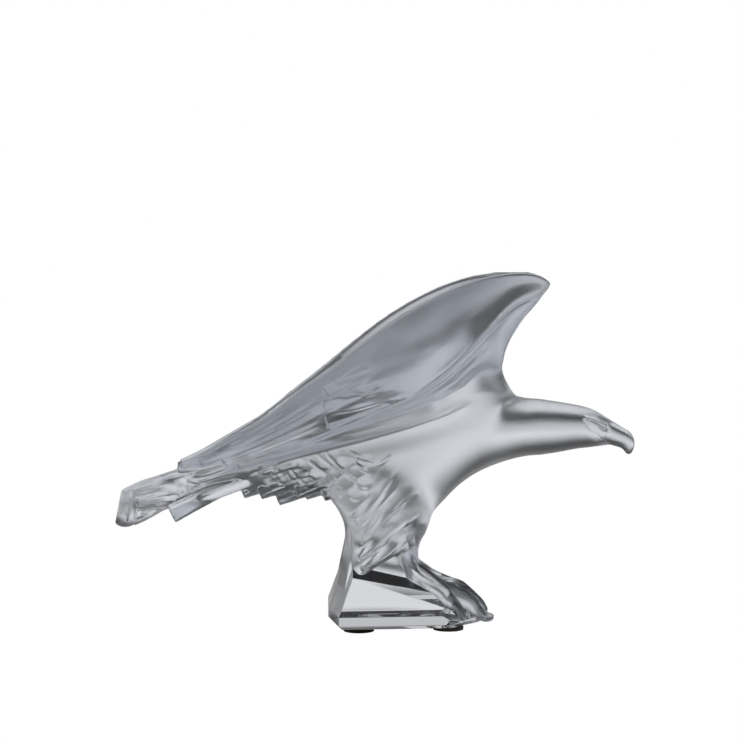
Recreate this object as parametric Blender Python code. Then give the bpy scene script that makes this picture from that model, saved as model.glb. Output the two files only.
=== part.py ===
"""A cast crystal eagle with raised wings, standing on a faceted crystal rock, with four felt pads under it.

Metres, +Z up, +X towards the beak, +Y towards the bird's left. The origin is on the ground under the middle.
The eagle and its rock are one casting. The eagle is drawn on a grid of 343 units from its tail to its beak,
so the numbers in its tables are shares of EAGLE_LENGTH. The rock and the pads have sizes of their own.
"""

import math

import bmesh
import bpy
from mathutils import Vector
from mathutils.bvhtree import BVHTree

# Driving dimensions, metres.
EAGLE_LENGTH = 0.343  # the end of the tail to the front of the beak
ROCK_HEIGHT = 0.049  # underside to the crest at the back of the legs
ROCK_WIDTH = 0.084  # side to side at its foot
ROCK_SIDE_HEIGHT = 0.0345  # underside to the top edge of a side face, at its rear end
ROCK_FRONT_HEIGHT = 0.0165  # underside to the top edge of the front face, under the toes
ROCK_SIDE_LEAN = 0.0015  # how far a side face leans in towards its top
ROCK_REAR_LEAN = 0.0150  # how far the rear prow leans forward up to the crest
ROCK_REAR_FOOT = 0.0090  # how high the rear prow stands upright before it leans
ROCK_REAR_MARGIN = 0.0117  # the rear prow behind the backs of the legs
CORE_RISE = 0.026  # how far the rock goes up above its crest between the legs, into the belly
CORE_LEAN = 0.007  # how far the sides of that part lean in
CORE_REAR_LEAN = 0.0103  # how far its rear leans forward
ROCK_TOE_OVERHANG = 0.0010  # how far the longest claws reach past the rock's front
ROCK_REAR_BEVEL = 0.0022  # the slope under the rear prow
ROCK_FRONT_BEVEL = 0.0050  # the slope under the front
ROCK_SIDE_BEVEL = 0.0022  # the slope under the side faces
ROCK_SIDE_END = 0.0218  # where a side face ends, behind the rock's front
ROCK_FRONT_FLAT = 0.040  # the width of the middle part of the front face
PAD_DIAMETER = 0.020
PAD_THICKNESS = 0.0025
PAD_GAP = 0.0003  # the glue line between a pad and the crystal
PAD_EDGE_MARGIN = 0.0020  # the underside left showing beside a pad
PAD_FRONT_MARGIN = 0.0191  # the rock's front to the edge of a front pad

# The eagle's drawing grid.
GRID_STEPS = 343
UNIT = EAGLE_LENGTH / GRID_STEPS
CREST_GRID_Z = 49.8  # the height on the grid at which the rock's crest meets the legs
LEG_BACK_GRID_X = -21.5  # the backs of the legs where they meet the rock
SHANK_GRID_X = 13.0  # the middle of a shank, where the taller part of the rock ends
GROUND_TO_ROCK = PAD_THICKNESS + PAD_GAP
LIFT = GROUND_TO_ROCK + ROCK_HEIGHT - CREST_GRID_Z * UNIT

# How finely the crystal is meshed.
BODY_CELL = 1.6 * UNIT  # the cell in which the large forms melt into one skin
FORM_CELL = 1.2 * UNIT  # the same, with the details
SKIN_TRIANGLES = 9000
RING_POINTS = 28
ADDED_ROWS = 3  # sections added between two drawn ones
PAD_SIDES = 32

# Where the large forms are eased into each other, on the grid.
EASE_X = (-54, 108)
EASE_Z = (60, 174)
EASE_FADE = 12  # the distance over which the easing fades out
EASE_ROUNDS = 12
EASE_SHARES = (0.1, 0.4, 0.8)  # each turn of rounds goes to the skin softer than this
CRISP_REACH = 8  # how far from the wings' ridges and crowns the skin keeps its edges

CRYSTAL = ("satin crystal", (0.80, 0.84, 0.88), 0.40)
FELT = ("pad felt", (0.075, 0.055, 0.035), 0.95)

# The trunk from tail to face: top x, top z, bottom x, bottom z, half width.
TRUNK = (
    (-136, 91, -138, 80, 6),
    (-118, 95, -120, 80, 9.5),
    (-91, 104, -91, 88, 13),
    (-62, 113, -62, 87, 18),
    (-38, 120, -37, 85, 24),
    (-15, 129, -11, 72, 29),
    (8, 136, 14, 67, 33),
    (28, 141, 36, 73, 34.5),
    (48, 145, 51, 88.3, 34),
    (68, 147.8, 66, 98.3, 31),
    (85, 148.4, 81.5, 104.5, 25.5),
    (96, 148.2, 97.5, 108.2, 20.5),
    (108, 146.6, 108.5, 109.3, 17),
    (121, 144.6, 121, 111.0, 14.8),
    (134, 142.3, 132, 113.0, 13.4),
    (143.5, 139.6, 141, 113.9, 11.6),
    (151, 135.6, 149, 114.8, 8.8),
    (157, 131.6, 154.5, 115.5, 5.8),
)
# The hooked beak: top x, top z, bottom x, bottom z, half width.
BEAK = (
    (150, 134.5, 149, 116, 5.2),
    (157.5, 131.4, 155, 115.7, 5.8),
    (164, 127.6, 160, 114.3, 5.2),
    (169, 124.6, 164, 112.9, 4.4),
    (172, 120.6, 166, 110.9, 3.6),
    (172.9, 115.6, 166.8, 109.4, 2.8),
    (171, 109.2, 167.6, 108.4, 1.2),
)
# The wing's rails by x. Each row: x, ridge z, ridge y, crown z, crown y, foot z, foot y, inner z, inner y.
# The ridge is its outer lower line, the crown its top edge, the foot where its flank ends, inner the side
# that faces the other wing. It stands clear of the body ahead of the shoulder, and grows out of it behind.
WING = (
    (108.2, 222.6, 36.5, 224.0, 36.0, 221.4, 36.0, 222.2, 34.5),
    (103.8, 221.2, 38.0, 227.4, 35.0, 216.2, 37.0, 217.8, 31.5),
    (98.0, 219.0, 39.8, 229.9, 34.0, 208.8, 37.0, 210.8, 29.0),
    (91.4, 216.8, 41.4, 230.8, 33.2, 201.2, 36.6, 204.0, 27.0),
    (85.4, 213.9, 42.8, 230.8, 32.6, 192.2, 36.0, 195.6, 25.0),
    (80.5, 210.6, 43.9, 230.4, 32.2, 182.6, 35.0, 186.2, 23.0),
    (77.8, 208.3, 44.4, 230.0, 32.0, 170.5, 33.0, 174.5, 20.0),
    (73.0, 203.8, 45.2, 229.3, 31.8, 128.0, 28.0, 142.0, 12.0),
    (67.0, 197.4, 46.2, 228.2, 31.6, 117.0, 29.0, 139.0, 10.0),
    (56.6, 186.6, 47.4, 225.2, 31.4, 113.0, 31.0, 137.0, 9.0),
    (45.8, 176.1, 48.2, 221.3, 31.2, 111.0, 32.0, 136.0, 8.5),
    (33.0, 165.0, 48.6, 215.6, 30.8, 109.0, 32.5, 134.0, 8.0),
    (17.0, 153.6, 48.0, 206.8, 29.4, 106.0, 31.5, 131.0, 7.5),
    (2.0, 146.2, 46.2, 197.0, 27.6, 104.0, 29.5, 127.0, 7.0),
    (-14.0, 139.0, 43.4, 185.0, 25.2, 102.0, 26.5, 122.0, 6.5),
    (-32.0, 131.3, 39.2, 170.8, 22.0, 99.0, 22.5, 116.5, 5.5),
    (-53.0, 122.8, 33.6, 154.8, 17.8, 96.5, 18.0, 110.0, 4.5),
    (-77.0, 113.5, 26.6, 136.4, 13.8, 93.5, 13.5, 103.0, 4.0),
    (-99.0, 105.2, 19.6, 123.6, 10.6, 89.5, 9.5, 96.0, 3.0),
    (-114.0, 99.6, 14.8, 114.8, 8.6, 86.5, 7.0, 92.0, 2.0),
    (-126.0, 97.4, 11.8, 108.6, 7.6, 87.0, 5.0, 90.0, 2.0),
    (-132.0, 96.6, 10.6, 106.2, 7.2, 87.0, 4.6, 90.0, 2.0),
)
CROWN_HALF_THICKNESS = 2.3
FACE_HOLLOW = 0.09  # how deep the outer face curves in, as a part of its height
FACE_SHARES = (0.15, 0.3, 0.45, 0.6, 0.72, 0.84, 0.94)  # where the outer face is drawn, from crown to ridge
BAND = 5.0  # the upright edge under the ridge, at the wrist
DIMPLE = (35.6, 181.0, 13.0, 9.0, 2.2)  # the hollow in the wing's face: x, z, its reach along each, its depth
# Limbs, from top to bottom: back x, front x, z, middle y, half y.
SHOULDER = (
    (58, 76.0, 186, 33.5, 7),
    (54, 76.5, 175, 30.5, 9),
    (50, 79.1, 166, 26.5, 12),
    (46, 85.4, 157.5, 21.5, 15),
    (42, 92.0, 150, 12, 13),
    (37, 91.0, 142, 7, 12),
    (32, 80.0, 132, 5, 12),
)
THIGH = (
    (-24, 46, 112, 15, 14),
    (-34.6, 45, 96, 18, 17.5),
    (-33.8, 39.6, 84, 19.5, 18.5),
    (-27.4, 33.6, 74, 20, 18),
    (-21.4, 28.6, 64, 20.5, 17),
    (-20.0, 22.3, 54, 21, 16),
    (-21, 8, 46, 22, 14.5),
    (-20.8, -5, 39, 23.5, 12.5),
    (-20.6, -13, 34, 26, 10),
)
SHANK = (
    (4, 34.5, 74, 18, 13),
    (7, 30.0, 63, 20, 12),
    (8, 25.8, 56, 20.5, 11),
    (9, 24.0, 50, 21, 10.5),
    (9, 24.4, 43.5, 21, 11),
    (12, 27.0, 37.5, 21, 12),
    (15, 30.0, 31, 21, 13),
    (18, 34, 22, 21, 12),
)
# Toes from the shank out. Each joint: x, y, radius, and how far its middle stands above the rock, in radii.
TOES = (
    ((20, 24, 8, 0.2), (30, 31, 7.2, 0.05), (37, 35.5, 6.4, 0.1), (41, 38, 5, 0.4)),
    ((22, 21, 8.3, -0.1), (38, 24, 7.6, -0.35), (54, 26.5, 6.8, 0.0), (61, 27.5, 5.2, 0.15)),
    ((22, 17, 8.3, -0.2), (38, 13.5, 7.6, -0.6), (53, 10.5, 7.0, -0.05), (60, 9.5, 5.4, 0.3)),
)
# A claw past its toe: its share of the reach, its share of the fall, and its radius.
CLAW = ((0.55, 0.30, 3.6), (0.9, 0.74, 2.5), (1.0, 1.0, 1.5))
CLAW_REACH = 12.0
CLAW_FALL = 14.0
CLAW_CLEARANCE = 5.2  # the tip of the lowest claw above the rock's underside
# The tail from its root to its blunt end: top x, top z, bottom x, bottom z, half width.
TAIL = (
    (-96, 103.5, -96, 87, 9),
    (-120, 101.0, -121, 82, 10.5),
    (-131, 102.0, -132, 78.8, 12.5),
    (-145, 97.9, -147, 72.9, 14),
    (-156, 94.5, -159, 67.0, 15),
    (-161.8, 91.9, -165.0, 64.6, 14),
    (-166.4, 89.9, -170.4, 65.2, 10),
    (-168.8, 88.8, -173.0, 67.0, 5),
)
# The raised strips on the tail's side, and their widths: each a path of x, z.
TAIL_STRIPS = (
    ((-104, 98), (-131, 95.0), (-145, 91.6), (-161, 87.6)),
    ((-126, 84), (-140, 81.0), (-150, 79.0), (-158, 77.6)),
    ((-134, 79), (-143, 75.4), (-152, 72.2), (-161, 69.2)),
    ((-159.6, 90), (-160.6, 83), (-161.6, 76), (-162.4, 68.5)),
)
TAIL_STRIP_WIDTHS = (8.0, 2.2, 6.0, 5.0)
TAIL_STRIP_THICKNESS = 5.0
TAIL_STRIP_PROUD = 2.0
# The outermost tail feather, lower and shorter: x, y, z along it.
TAIL_SIDE_FEATHER = ((-80, 9, 97.0), (-105, 12, 89.0), (-124, 14.5, 80.4), (-136.6, 15.5, 74.2))
SIDE_FEATHER_WIDTHS = (7.5, 8.5, 10.5, 12.0)
SIDE_FEATHER_THICKNESS = 8.0
# Tufts under the tail: the tip's x, y and z.
TUFTS = ((-90, 4, 86.3), (-79, 11, 86.3), (-67, 7, 81.8), (-55, 15, 86.6), (-49, 4, 84.9), (-38, 15, 85))
TUFT_LENGTH = 26
TUFT_RISE = 9  # how much higher its root is than its tip
TUFT_WIDTHS = (8, 11, 11, 8)
TUFT_THICKNESS = 7.0
# Feathers laid on the outer face, each a path of x, z.
LONG_FOLD = ((60, 152.6), (53, 148), (39.8, 143.4), (24.6, 138.4), (6.8, 132.4), (-15, 126.5), (-38.8, 120.6),
             (-54.8, 117.0), (-73.9, 111.6), (-93, 105.6))
THIGH_LOCKS = (
    ((8.9, 108.7), (-8, 84.4), (-19, 70.3)),
    ((11.5, 100.3), (-4.1, 81.1), (-15, 68)),
    ((13, 90), (-2.8, 77), (-14, 60)),
    ((17, 78), (2, 64), (-16, 46)),
    ((19, 66), (4, 52.5), (-14, 40.5)),
)
# The wing's feathers run by share of its height, from 0 at the ridge to 1 at the crown.
COVERTS = (  # from x, to x, share, and its part of the height
    (18, -36.5, 0.13, 0.26),
    (4, -37.5, 0.37, 0.24),
    (2, -36.0, 0.60, 0.20),
)
PRIMARIES = ((-101, 0.08), (-103, 0.25), (-116, 0.42), (-118, 0.58), (-130, 0.74), (-130, 0.9))
PRIMARY_START = -24
PRIMARY_PART = 0.17  # a primary's part of the wing's height
PRIMARY_THICKNESS = 4.0
PRIMARY_PROUD = 2.0  # how far its tip stands out of the wing's face
PRIMARY_TILT = 0.46  # how far each primary leans over the next, as a slope
COVERT_THICKNESS = 5.5
COVERT_PROUD = 3.8
COVERT_TILT = 0.08
ROOT_DEPTH = 2.4  # how deep under the surface a feather starts
WING_FEATHER_STEPS = 14
# The long fold under the wing and the locks on the thigh.
FOLD_END_WIDTH = 3.2
FOLD_SWELL = 4.8  # how much wider it is in its middle
FOLD_THICKNESS = 4.5
FOLD_PROUD = 1.6
LOCK_WIDTH = 6.5
LOCK_THICKNESS = 3.5
LOCK_PROUD = 1.5
LOCK_TILT = 0.15
# The small scales on the flank, in rows that run back from the thigh.
SCALE_ROWS = 4
SCALES_IN_ROW = 6
SCALE_START = -3.0
SCALE_STEP = 12.5
SCALE_SHIFT = 5.0  # how far back every second row starts
SCALE_TOP = 117.8  # the height of the rows' upper limit at x 0, and how it goes on with x
SCALE_TOP_SLOPE = 0.16
SCALE_BOTTOM = 87.8
SCALE_BOTTOM_SLOPE = -0.05
SCALE_FALL = 0.55  # the slope of the first scale of a row
SCALE_FALL_LESS = 0.06  # how much flatter each next one lies
SCALE_PATH = (0, 3, 6, 9, 12, 14)
SCALE_WIDTH = 8.5
SCALE_THICKNESS = 3.0
SCALE_PROUD = 1.3
SCALE_TILT = 0.1
# The face: the brow's path with its widths, and the eye.
BROW = ((136, 11.5, 134.5), (144, 10.2, 131.8), (151.5, 7.8, 127.4))
BROW_WIDTHS = (2.8, 3.2, 1.8)
BROW_THICKNESS = 3.2
EYE = (150.6, 6.5, 126.2)
EYE_RADIUS = 1.8


def grid(x, y, z):
    """A point of the eagle's grid, as a place in metres."""
    return Vector((x, y, z)) * UNIT + Vector((0, 0, LIFT))


def spline(rows, between=ADDED_ROWS):
    """The rows with more rows between each two, on one smooth curve through them all."""
    rows = [Vector(row) for row in rows]
    ends = [rows[0] * 2 - rows[1]] + rows + [rows[-1] * 2 - rows[-2]]
    smooth = []
    for a, b, c, d in zip(ends, ends[1:], ends[2:], ends[3:]):
        for step in range(between + 1):
            t = step / (between + 1)
            smooth.append(
                (b * 2 + (c - a) * t + (a * 2 - b * 5 + c * 4 - d) * t**2 + (b * 3 - a - c * 3 + d) * t**3) / 2
            )
    return smooth + [rows[-1]]


def clamp(value, low, high):
    return max(low, min(high, value))


def ring(centre, across, along, squareness=2.0, count=RING_POINTS):
    """Points round an oval with these two half axes. Squareness 2 is an ellipse, and more is squarer."""
    points = []
    for i in range(count):
        angle = math.tau * i / count
        c, s = math.cos(angle), math.sin(angle)
        u = math.copysign(abs(c) ** (2 / squareness), c)
        v = math.copysign(abs(s) ** (2 / squareness), s)
        points.append(centre + across * u + along * v)
    return points


def loft(rings):
    """A closed mesh through the rings, with its two ends capped."""
    bm = bmesh.new()
    loops = [[bm.verts.new(point) for point in points] for points in rings]
    count = len(loops[0])
    for first, second in zip(loops, loops[1:]):
        for i in range(count):
            j = (i + 1) % count
            bm.faces.new((first[i], first[j], second[j], second[i]))
    bm.faces.new(loops[0][::-1])
    bm.faces.new(loops[-1])
    bmesh.ops.recalc_face_normals(bm, faces=bm.faces)
    return bm


def add_to(target, piece):
    """Joins one loose closed form to the others."""
    mesh = bpy.data.meshes.new("form")
    piece.to_mesh(mesh)
    piece.free()
    target.from_mesh(mesh)
    bpy.data.meshes.remove(mesh)


def upright_loft(rows, squareness=2.2):
    """A loft from rows of top x, top z, bottom x, bottom z, half width, along the middle of the bird."""
    rings = []
    for top_x, top_z, bottom_x, bottom_z, half_width in spline(rows):
        top, bottom = grid(top_x, 0, top_z), grid(bottom_x, 0, bottom_z)
        rings.append(ring((top + bottom) / 2, (top - bottom) / 2, Vector((0, half_width * UNIT, 0)), squareness))
    return loft(rings)


def level_loft(rows, side, squareness=2.3):
    """A loft from rows of back x, front x, z, middle y, half y, for a limb that goes down."""
    rings = []
    for back_x, front_x, z, middle_y, half_y in spline(rows):
        centre = grid((back_x + front_x) / 2, side * middle_y, z)
        across = Vector(((front_x - back_x) / 2 * UNIT, 0, 0))
        rings.append(ring(centre, across, Vector((0, half_y * UNIT, 0)), squareness))
    return loft(rings)


def blade(path, out, widths, thicknesses, squareness=4.0):
    """A bar along a path of places. Out is the way its flat side faces, one for all or one for each place."""
    rings = []
    for i, place in enumerate(path):
        along = (path[min(i + 1, len(path) - 1)] - path[max(i - 1, 0)]).normalized()
        facing = out[i] if isinstance(out, list) else out
        across = along.cross(facing).normalized()
        up = across.cross(along).normalized()
        rings.append(ring(place, across * widths[i] / 2, up * thicknesses[i] / 2, squareness, 16))
    return loft(rings)


def wing_section(x, ridge_z, ridge_y, crown_z, crown_y, foot_z, foot_y, inner_z, inner_y):
    """The wing's outline at one x, as y and z, from the crown down the outer face and up the inner one."""
    height = crown_z - ridge_z
    hollow = FACE_HOLLOW * height * clamp((100 - x) / 30, 0, 1)
    band = min(BAND * clamp((x + 45) / 90, 0.4, 1), (ridge_z - foot_z) * 0.4)
    dimple_x, dimple_z, reach_x, reach_z, dimple_depth = DIMPLE
    top_y = crown_y + CROWN_HALF_THICKNESS
    outline = [(crown_y, crown_z + 0.6), (top_y, crown_z - 1.2)]
    for share in FACE_SHARES:
        z = crown_z - height * share
        dip = hollow * math.sin(math.pi * share)
        dip += dimple_depth * math.exp(-(((x - dimple_x) / reach_x) ** 2) - ((z - dimple_z) / reach_z) ** 2)
        outline.append((top_y + (ridge_y - top_y) * share - dip, z))
    under_z = ridge_z - band * 1.35
    return outline + [
        (ridge_y, ridge_z),
        (ridge_y + 0.3, ridge_z - band * 0.5),
        (ridge_y - 0.2, ridge_z - band),
        (ridge_y - band * 0.7, under_z),
        (ridge_y + (foot_y - ridge_y) * 0.45, under_z + (foot_z - under_z) * 0.30),
        (ridge_y + (foot_y - ridge_y) * 0.72, under_z + (foot_z - under_z) * 0.65),
        (foot_y, foot_z),
        ((foot_y + inner_y) / 2, (foot_z + inner_z) / 2),
        (inner_y, inner_z),
        (inner_y + (crown_y - inner_y) * 0.35, inner_z + (crown_z - inner_z) * 0.35),
        (inner_y + (crown_y - inner_y) * 0.70, inner_z + (crown_z - inner_z) * 0.70),
        (crown_y - CROWN_HALF_THICKNESS, crown_z - 1.8),
    ]


def wing(side):
    """One wing, with its arm and the flank that joins it to the body. side is -1 for the bird's right."""
    return loft([[grid(row[0], side * y, z) for y, z in wing_section(*row)] for row in spline(WING)])


def wing_rails(x):
    """The ridge's z and y and the crown's z and y at this x."""
    x = clamp(x, WING[-1][0], WING[0][0])
    for front, back in zip(WING, WING[1:]):
        if back[0] <= x <= front[0]:
            t = (front[0] - x) / (front[0] - back[0])
            return [a + (b - a) * t for a, b in zip(front[1:5], back[1:5])]


def surface_at(tree, side, x, z):
    """The place on the bird's outer face that shows from its side at this x and z, and the way it faces."""
    place, normal, _, _ = tree.ray_cast(grid(x, side * 80, z), Vector((0, -side, 0)))
    return place, normal


def feather(tree, side, path, widths, thickness, proud, tilt=0.0, blunt=True):
    """A feather laid on the outer face. Its root starts under the surface, and its tip stands proud of it."""
    places, facings = [], []
    for x, z in path:
        place, normal = surface_at(tree, side, x, z)
        if place is None:
            continue
        places.append(place)
        facings.append(normal)
    count = len(places)
    outs, centres, sizes = [], [], []
    for i in range(count):
        near = facings[max(0, i - 2): i + 3]
        facing = sum(near, Vector()).normalized()
        share = i / (count - 1)
        rise = (proud * share**0.7 - ROOT_DEPTH * (1 - share) ** 3) * UNIT
        narrow = 0.55 + 0.45 * min(1, share * 3)
        if not blunt:
            narrow *= math.sqrt(max(0.04, 1 - clamp((share - 0.7) / 0.3, 0, 1) ** 2))
        along = (places[min(i + 1, count - 1)] - places[max(i - 1, 0)]).normalized()
        across = along.cross(facing).normalized()
        if across.z < 0:
            across = -across
        centres.append(places[i] + facing * (rise - thickness / 2 * UNIT))
        outs.append((facing + across * tilt).normalized())
        sizes.append(widths[min(i, len(widths) - 1)] * narrow * UNIT)
    return blade(centres, outs, sizes, [thickness * UNIT] * count, 4.0)


def wing_feather(tree, side, start_x, end_x, share, part, thickness, proud, tilt):
    """A feather that follows the wing at one share of its height."""
    path, widths = [], []
    for i in range(WING_FEATHER_STEPS + 1):
        x = start_x + (end_x - start_x) * i / WING_FEATHER_STEPS
        ridge_z, _, crown_z, _ = wing_rails(x)
        path.append((x, ridge_z + (crown_z - ridge_z) * share))
        widths.append((crown_z - ridge_z) * part)
    return feather(tree, side, path, widths, thickness, proud, tilt)


def wing_feathers(tree, side):
    """The long primaries at the back of the wing, and the coverts that end over them."""
    for end_x, share in PRIMARIES:
        yield wing_feather(tree, side, PRIMARY_START, end_x, share, PRIMARY_PART,
                           PRIMARY_THICKNESS, PRIMARY_PROUD, PRIMARY_TILT)
    for start_x, end_x, share, part in COVERTS:
        yield wing_feather(tree, side, start_x, end_x, share, part, COVERT_THICKNESS, COVERT_PROUD, COVERT_TILT)


def body_feathers(tree, side):
    """The long fold under the wing, the locks on the thigh and the small scales on the flank."""
    fold = [tuple(point) for point in spline(LONG_FOLD, 2)]
    swell = [math.sin(math.pi * i / (len(fold) - 1)) for i in range(len(fold))]
    widths = [FOLD_END_WIDTH + FOLD_SWELL * part for part in swell]
    yield feather(tree, side, fold, widths, FOLD_THICKNESS, FOLD_PROUD)
    for lock in THIGH_LOCKS:
        path = [tuple(point) for point in spline(lock, 4)]
        yield feather(tree, side, path, [LOCK_WIDTH], LOCK_THICKNESS, LOCK_PROUD, LOCK_TILT, blunt=False)
    for row in range(SCALE_ROWS):
        for k in range(SCALES_IN_ROW):
            x = SCALE_START - SCALE_STEP * k - SCALE_SHIFT * (row % 2)
            upper = SCALE_TOP + SCALE_TOP_SLOPE * x
            lower = SCALE_BOTTOM + SCALE_BOTTOM_SLOPE * x
            z = upper + (lower - upper) * (row + 0.3) / SCALE_ROWS
            slope = SCALE_FALL - SCALE_FALL_LESS * k
            path = [(x - t, z - t * slope) for t in SCALE_PATH]
            yield feather(tree, side, path, [SCALE_WIDTH], SCALE_THICKNESS, SCALE_PROUD, SCALE_TILT, blunt=False)


def tufts(side):
    """The short feathers that hang under the root of the tail."""
    widths = [width * UNIT for width in TUFT_WIDTHS]
    for tip_x, tip_y, tip_z in TUFTS:
        path = [grid(tip_x + TUFT_LENGTH * t, side * tip_y, tip_z + TUFT_RISE * t) for t in (1, 0.65, 0.3, 0)]
        yield blade(path, Vector((0, side * 0.5, -1)), widths, [TUFT_THICKNESS * UNIT] * len(path))


def face(side):
    """The brow and the eye."""
    brow = [grid(x, side * y, z) for x, y, z in BROW]
    widths = [width * UNIT for width in BROW_WIDTHS]
    yield blade(brow, Vector((0, side, 0.5)), widths, [BROW_THICKNESS * UNIT] * len(brow), 2.5)
    eye = bmesh.new()
    bmesh.ops.create_uvsphere(eye, u_segments=16, v_segments=10, radius=EYE_RADIUS * UNIT)
    x, y, z = EYE
    bmesh.ops.translate(eye, verts=eye.verts, vec=grid(x, side * y, z))
    yield eye


def tail_feathers(tree, side):
    """The strips on one side of the tail, and the shorter feather beside it."""
    for strip, width in zip(TAIL_STRIPS, TAIL_STRIP_WIDTHS):
        path = [tuple(point) for point in spline(strip, 2)]
        yield feather(tree, side, path, [width], TAIL_STRIP_THICKNESS, TAIL_STRIP_PROUD)
    path = [grid(x, side * y, z) for x, y, z in TAIL_SIDE_FEATHER]
    widths = [width * UNIT for width in SIDE_FEATHER_WIDTHS]
    yield blade(path, Vector((0, side, -0.3)), widths, [SIDE_FEATHER_THICKNESS * UNIT] * len(path), 5.0)


def height_of(tree, x, y):
    """The height of the rock's surface under this place."""
    place, _, _, _ = tree.ray_cast(Vector((x, y, 1.0)), Vector((0, 0, -1)))
    return place.z if place else GROUND_TO_ROCK


def foot(side, rock_tree):
    """Toes laid on the rock, each ending in a claw that bends down its front."""
    for joints in TOES:
        rows = []
        for x, y, radius, rise in joints:
            place = Vector((x, side * y, 0)) * UNIT
            height = height_of(rock_tree, place.x, place.y) + radius * rise * UNIT
            rows.append((place.x, place.y, height, radius * UNIT))
        last, before = Vector(rows[-1]), Vector(rows[-2])
        ahead = (last - before).xy.normalized() * CLAW_REACH * UNIT
        fall = CLAW_FALL * UNIT
        floor = GROUND_TO_ROCK + CLAW_CLEARANCE * UNIT
        for reach, drop, radius in CLAW:
            height = max(last.z - fall * drop, floor)
            rows.append((last.x + ahead.x * reach, last.y + ahead.y * reach, height, radius * UNIT))
        centres = spline(rows)
        sizes = [2 * max(row[3], 1.2 * UNIT) for row in centres]
        yield blade([Vector(row[:3]) for row in centres], Vector((0, -side, 0.2)), sizes, sizes, 2.0)


def rock_planes():
    """The ground faces of the rock, each as three places on it."""
    ground = GROUND_TO_ROCK
    rear, rear_top, rear_corner = rear_lines()
    front = toe_reach() - ROCK_TOE_OVERHANG
    half = ROCK_WIDTH / 2
    crest = ground + ROCK_HEIGHT
    shoulder = ground + ROCK_SIDE_HEIGHT
    brow = ground + ROCK_FRONT_HEIGHT
    brow_x = front - 0.9 * ROCK_FRONT_HEIGHT
    front_corner = front - ROCK_SIDE_END
    rear_sill = ground + ROCK_REAR_BEVEL
    rear_foot = ground + ROCK_REAR_FOOT
    front_sill = ground + ROCK_FRONT_BEVEL
    side_sill = ground + ROCK_SIDE_BEVEL
    under_rear = rear + 1.2 * ROCK_REAR_BEVEL
    under_front = front - 1.6 * ROCK_FRONT_BEVEL
    planes = [
        ((0, 0, ground), (1, 0, ground), (0, 1, ground)),
        ((rear_top, 0, crest), (rear_top, 1, crest), (brow_x, 0, brow)),
        ((brow_x, 0, brow), (brow_x, 1, brow), (front, 0, ground)),
        ((front, 0, front_sill), (front, 1, front_sill), (under_front, 0, ground)),
    ]
    for side in (-1, 1):
        edge = side * half
        rear_shoulder = (rear_corner + 0.15 * ROCK_SIDE_HEIGHT, side * (half - ROCK_SIDE_LEAN), shoulder)
        knee = (front - 0.62 * ROCK_WIDTH, side * (half - 2 * ROCK_SIDE_LEAN), ground + 0.52 * ROCK_HEIGHT)
        wrist = (front_corner - 0.11 * ROCK_WIDTH, side * (half - 0.6 * ROCK_SIDE_LEAN),
                 ground + 0.85 * ROCK_FRONT_HEIGHT)
        front_edge = (front, side * ROCK_FRONT_FLAT / 2, front_sill)
        front_side = (front_corner, edge, front_sill)
        planes += [
            ((rear, 0, rear_foot), (rear_top, 0, crest), (rear_corner, edge, rear_foot)),
            ((rear, 0, rear_sill), (rear, 0, rear_foot), (rear_corner, edge, rear_foot)),
            ((rear, 0, rear_sill), (rear_corner, edge, rear_sill), (under_rear, 0, ground)),
            ((0, edge, side_sill), (1, edge, side_sill), rear_shoulder),
            ((0, edge, side_sill), (1, edge, side_sill), (0, edge - side * ROCK_SIDE_BEVEL, ground)),
            ((rear_top, side * 0.12 * ROCK_WIDTH, crest), rear_shoulder, knee),
            (rear_shoulder, knee, wrist),
            (front_edge, front_side, wrist),
            (front_edge, front_side, (under_front, side * 0.22 * ROCK_WIDTH, ground)),
        ]
    return planes


def rear_lines():
    """How far back the rock's rear prow is at its foot, at its crest, and at the sides."""
    rear = LEG_BACK_GRID_X * UNIT - ROCK_REAR_MARGIN
    return rear, rear + ROCK_REAR_LEAN, rear + 0.04 * ROCK_WIDTH


def toe_reach():
    """How far forward the claws come."""
    return max(joints[-1][0] for joints in TOES) * UNIT + CLAW_REACH * UNIT


def core_planes():
    """The faces of the taller part of the rock between the legs."""
    ground = GROUND_TO_ROCK
    rear, _, rear_corner = rear_lines()
    top = ground + ROCK_HEIGHT + CORE_RISE
    low = ground + 0.5 * ROCK_HEIGHT
    prow = rear + ROCK_REAR_LEAN * (low - ground - ROCK_REAR_FOOT) / (ROCK_HEIGHT - ROCK_REAR_FOOT)
    prow_corner = prow + rear_corner - rear
    foot_y = 0.36 * ROCK_WIDTH
    top_y = foot_y - CORE_LEAN
    front = SHANK_GRID_X * UNIT
    planes = [
        ((0, 0, top), (1, 0, top), (0, 1, top)),
        ((0, 0, low / 2), (1, 0, low / 2), (0, 1, low / 2)),
        ((front, 0, top), (front, 1, top), (front + 0.5 * CORE_LEAN, 0, low)),
    ]
    for side in (-1, 1):
        planes += [
            ((prow, 0, low), (prow + CORE_REAR_LEAN, 0, top), (prow_corner, side * ROCK_WIDTH / 2, low)),
            ((0, side * foot_y, low), (1, side * foot_y, low), (0, side * top_y, top)),
        ]
    return planes


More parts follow.
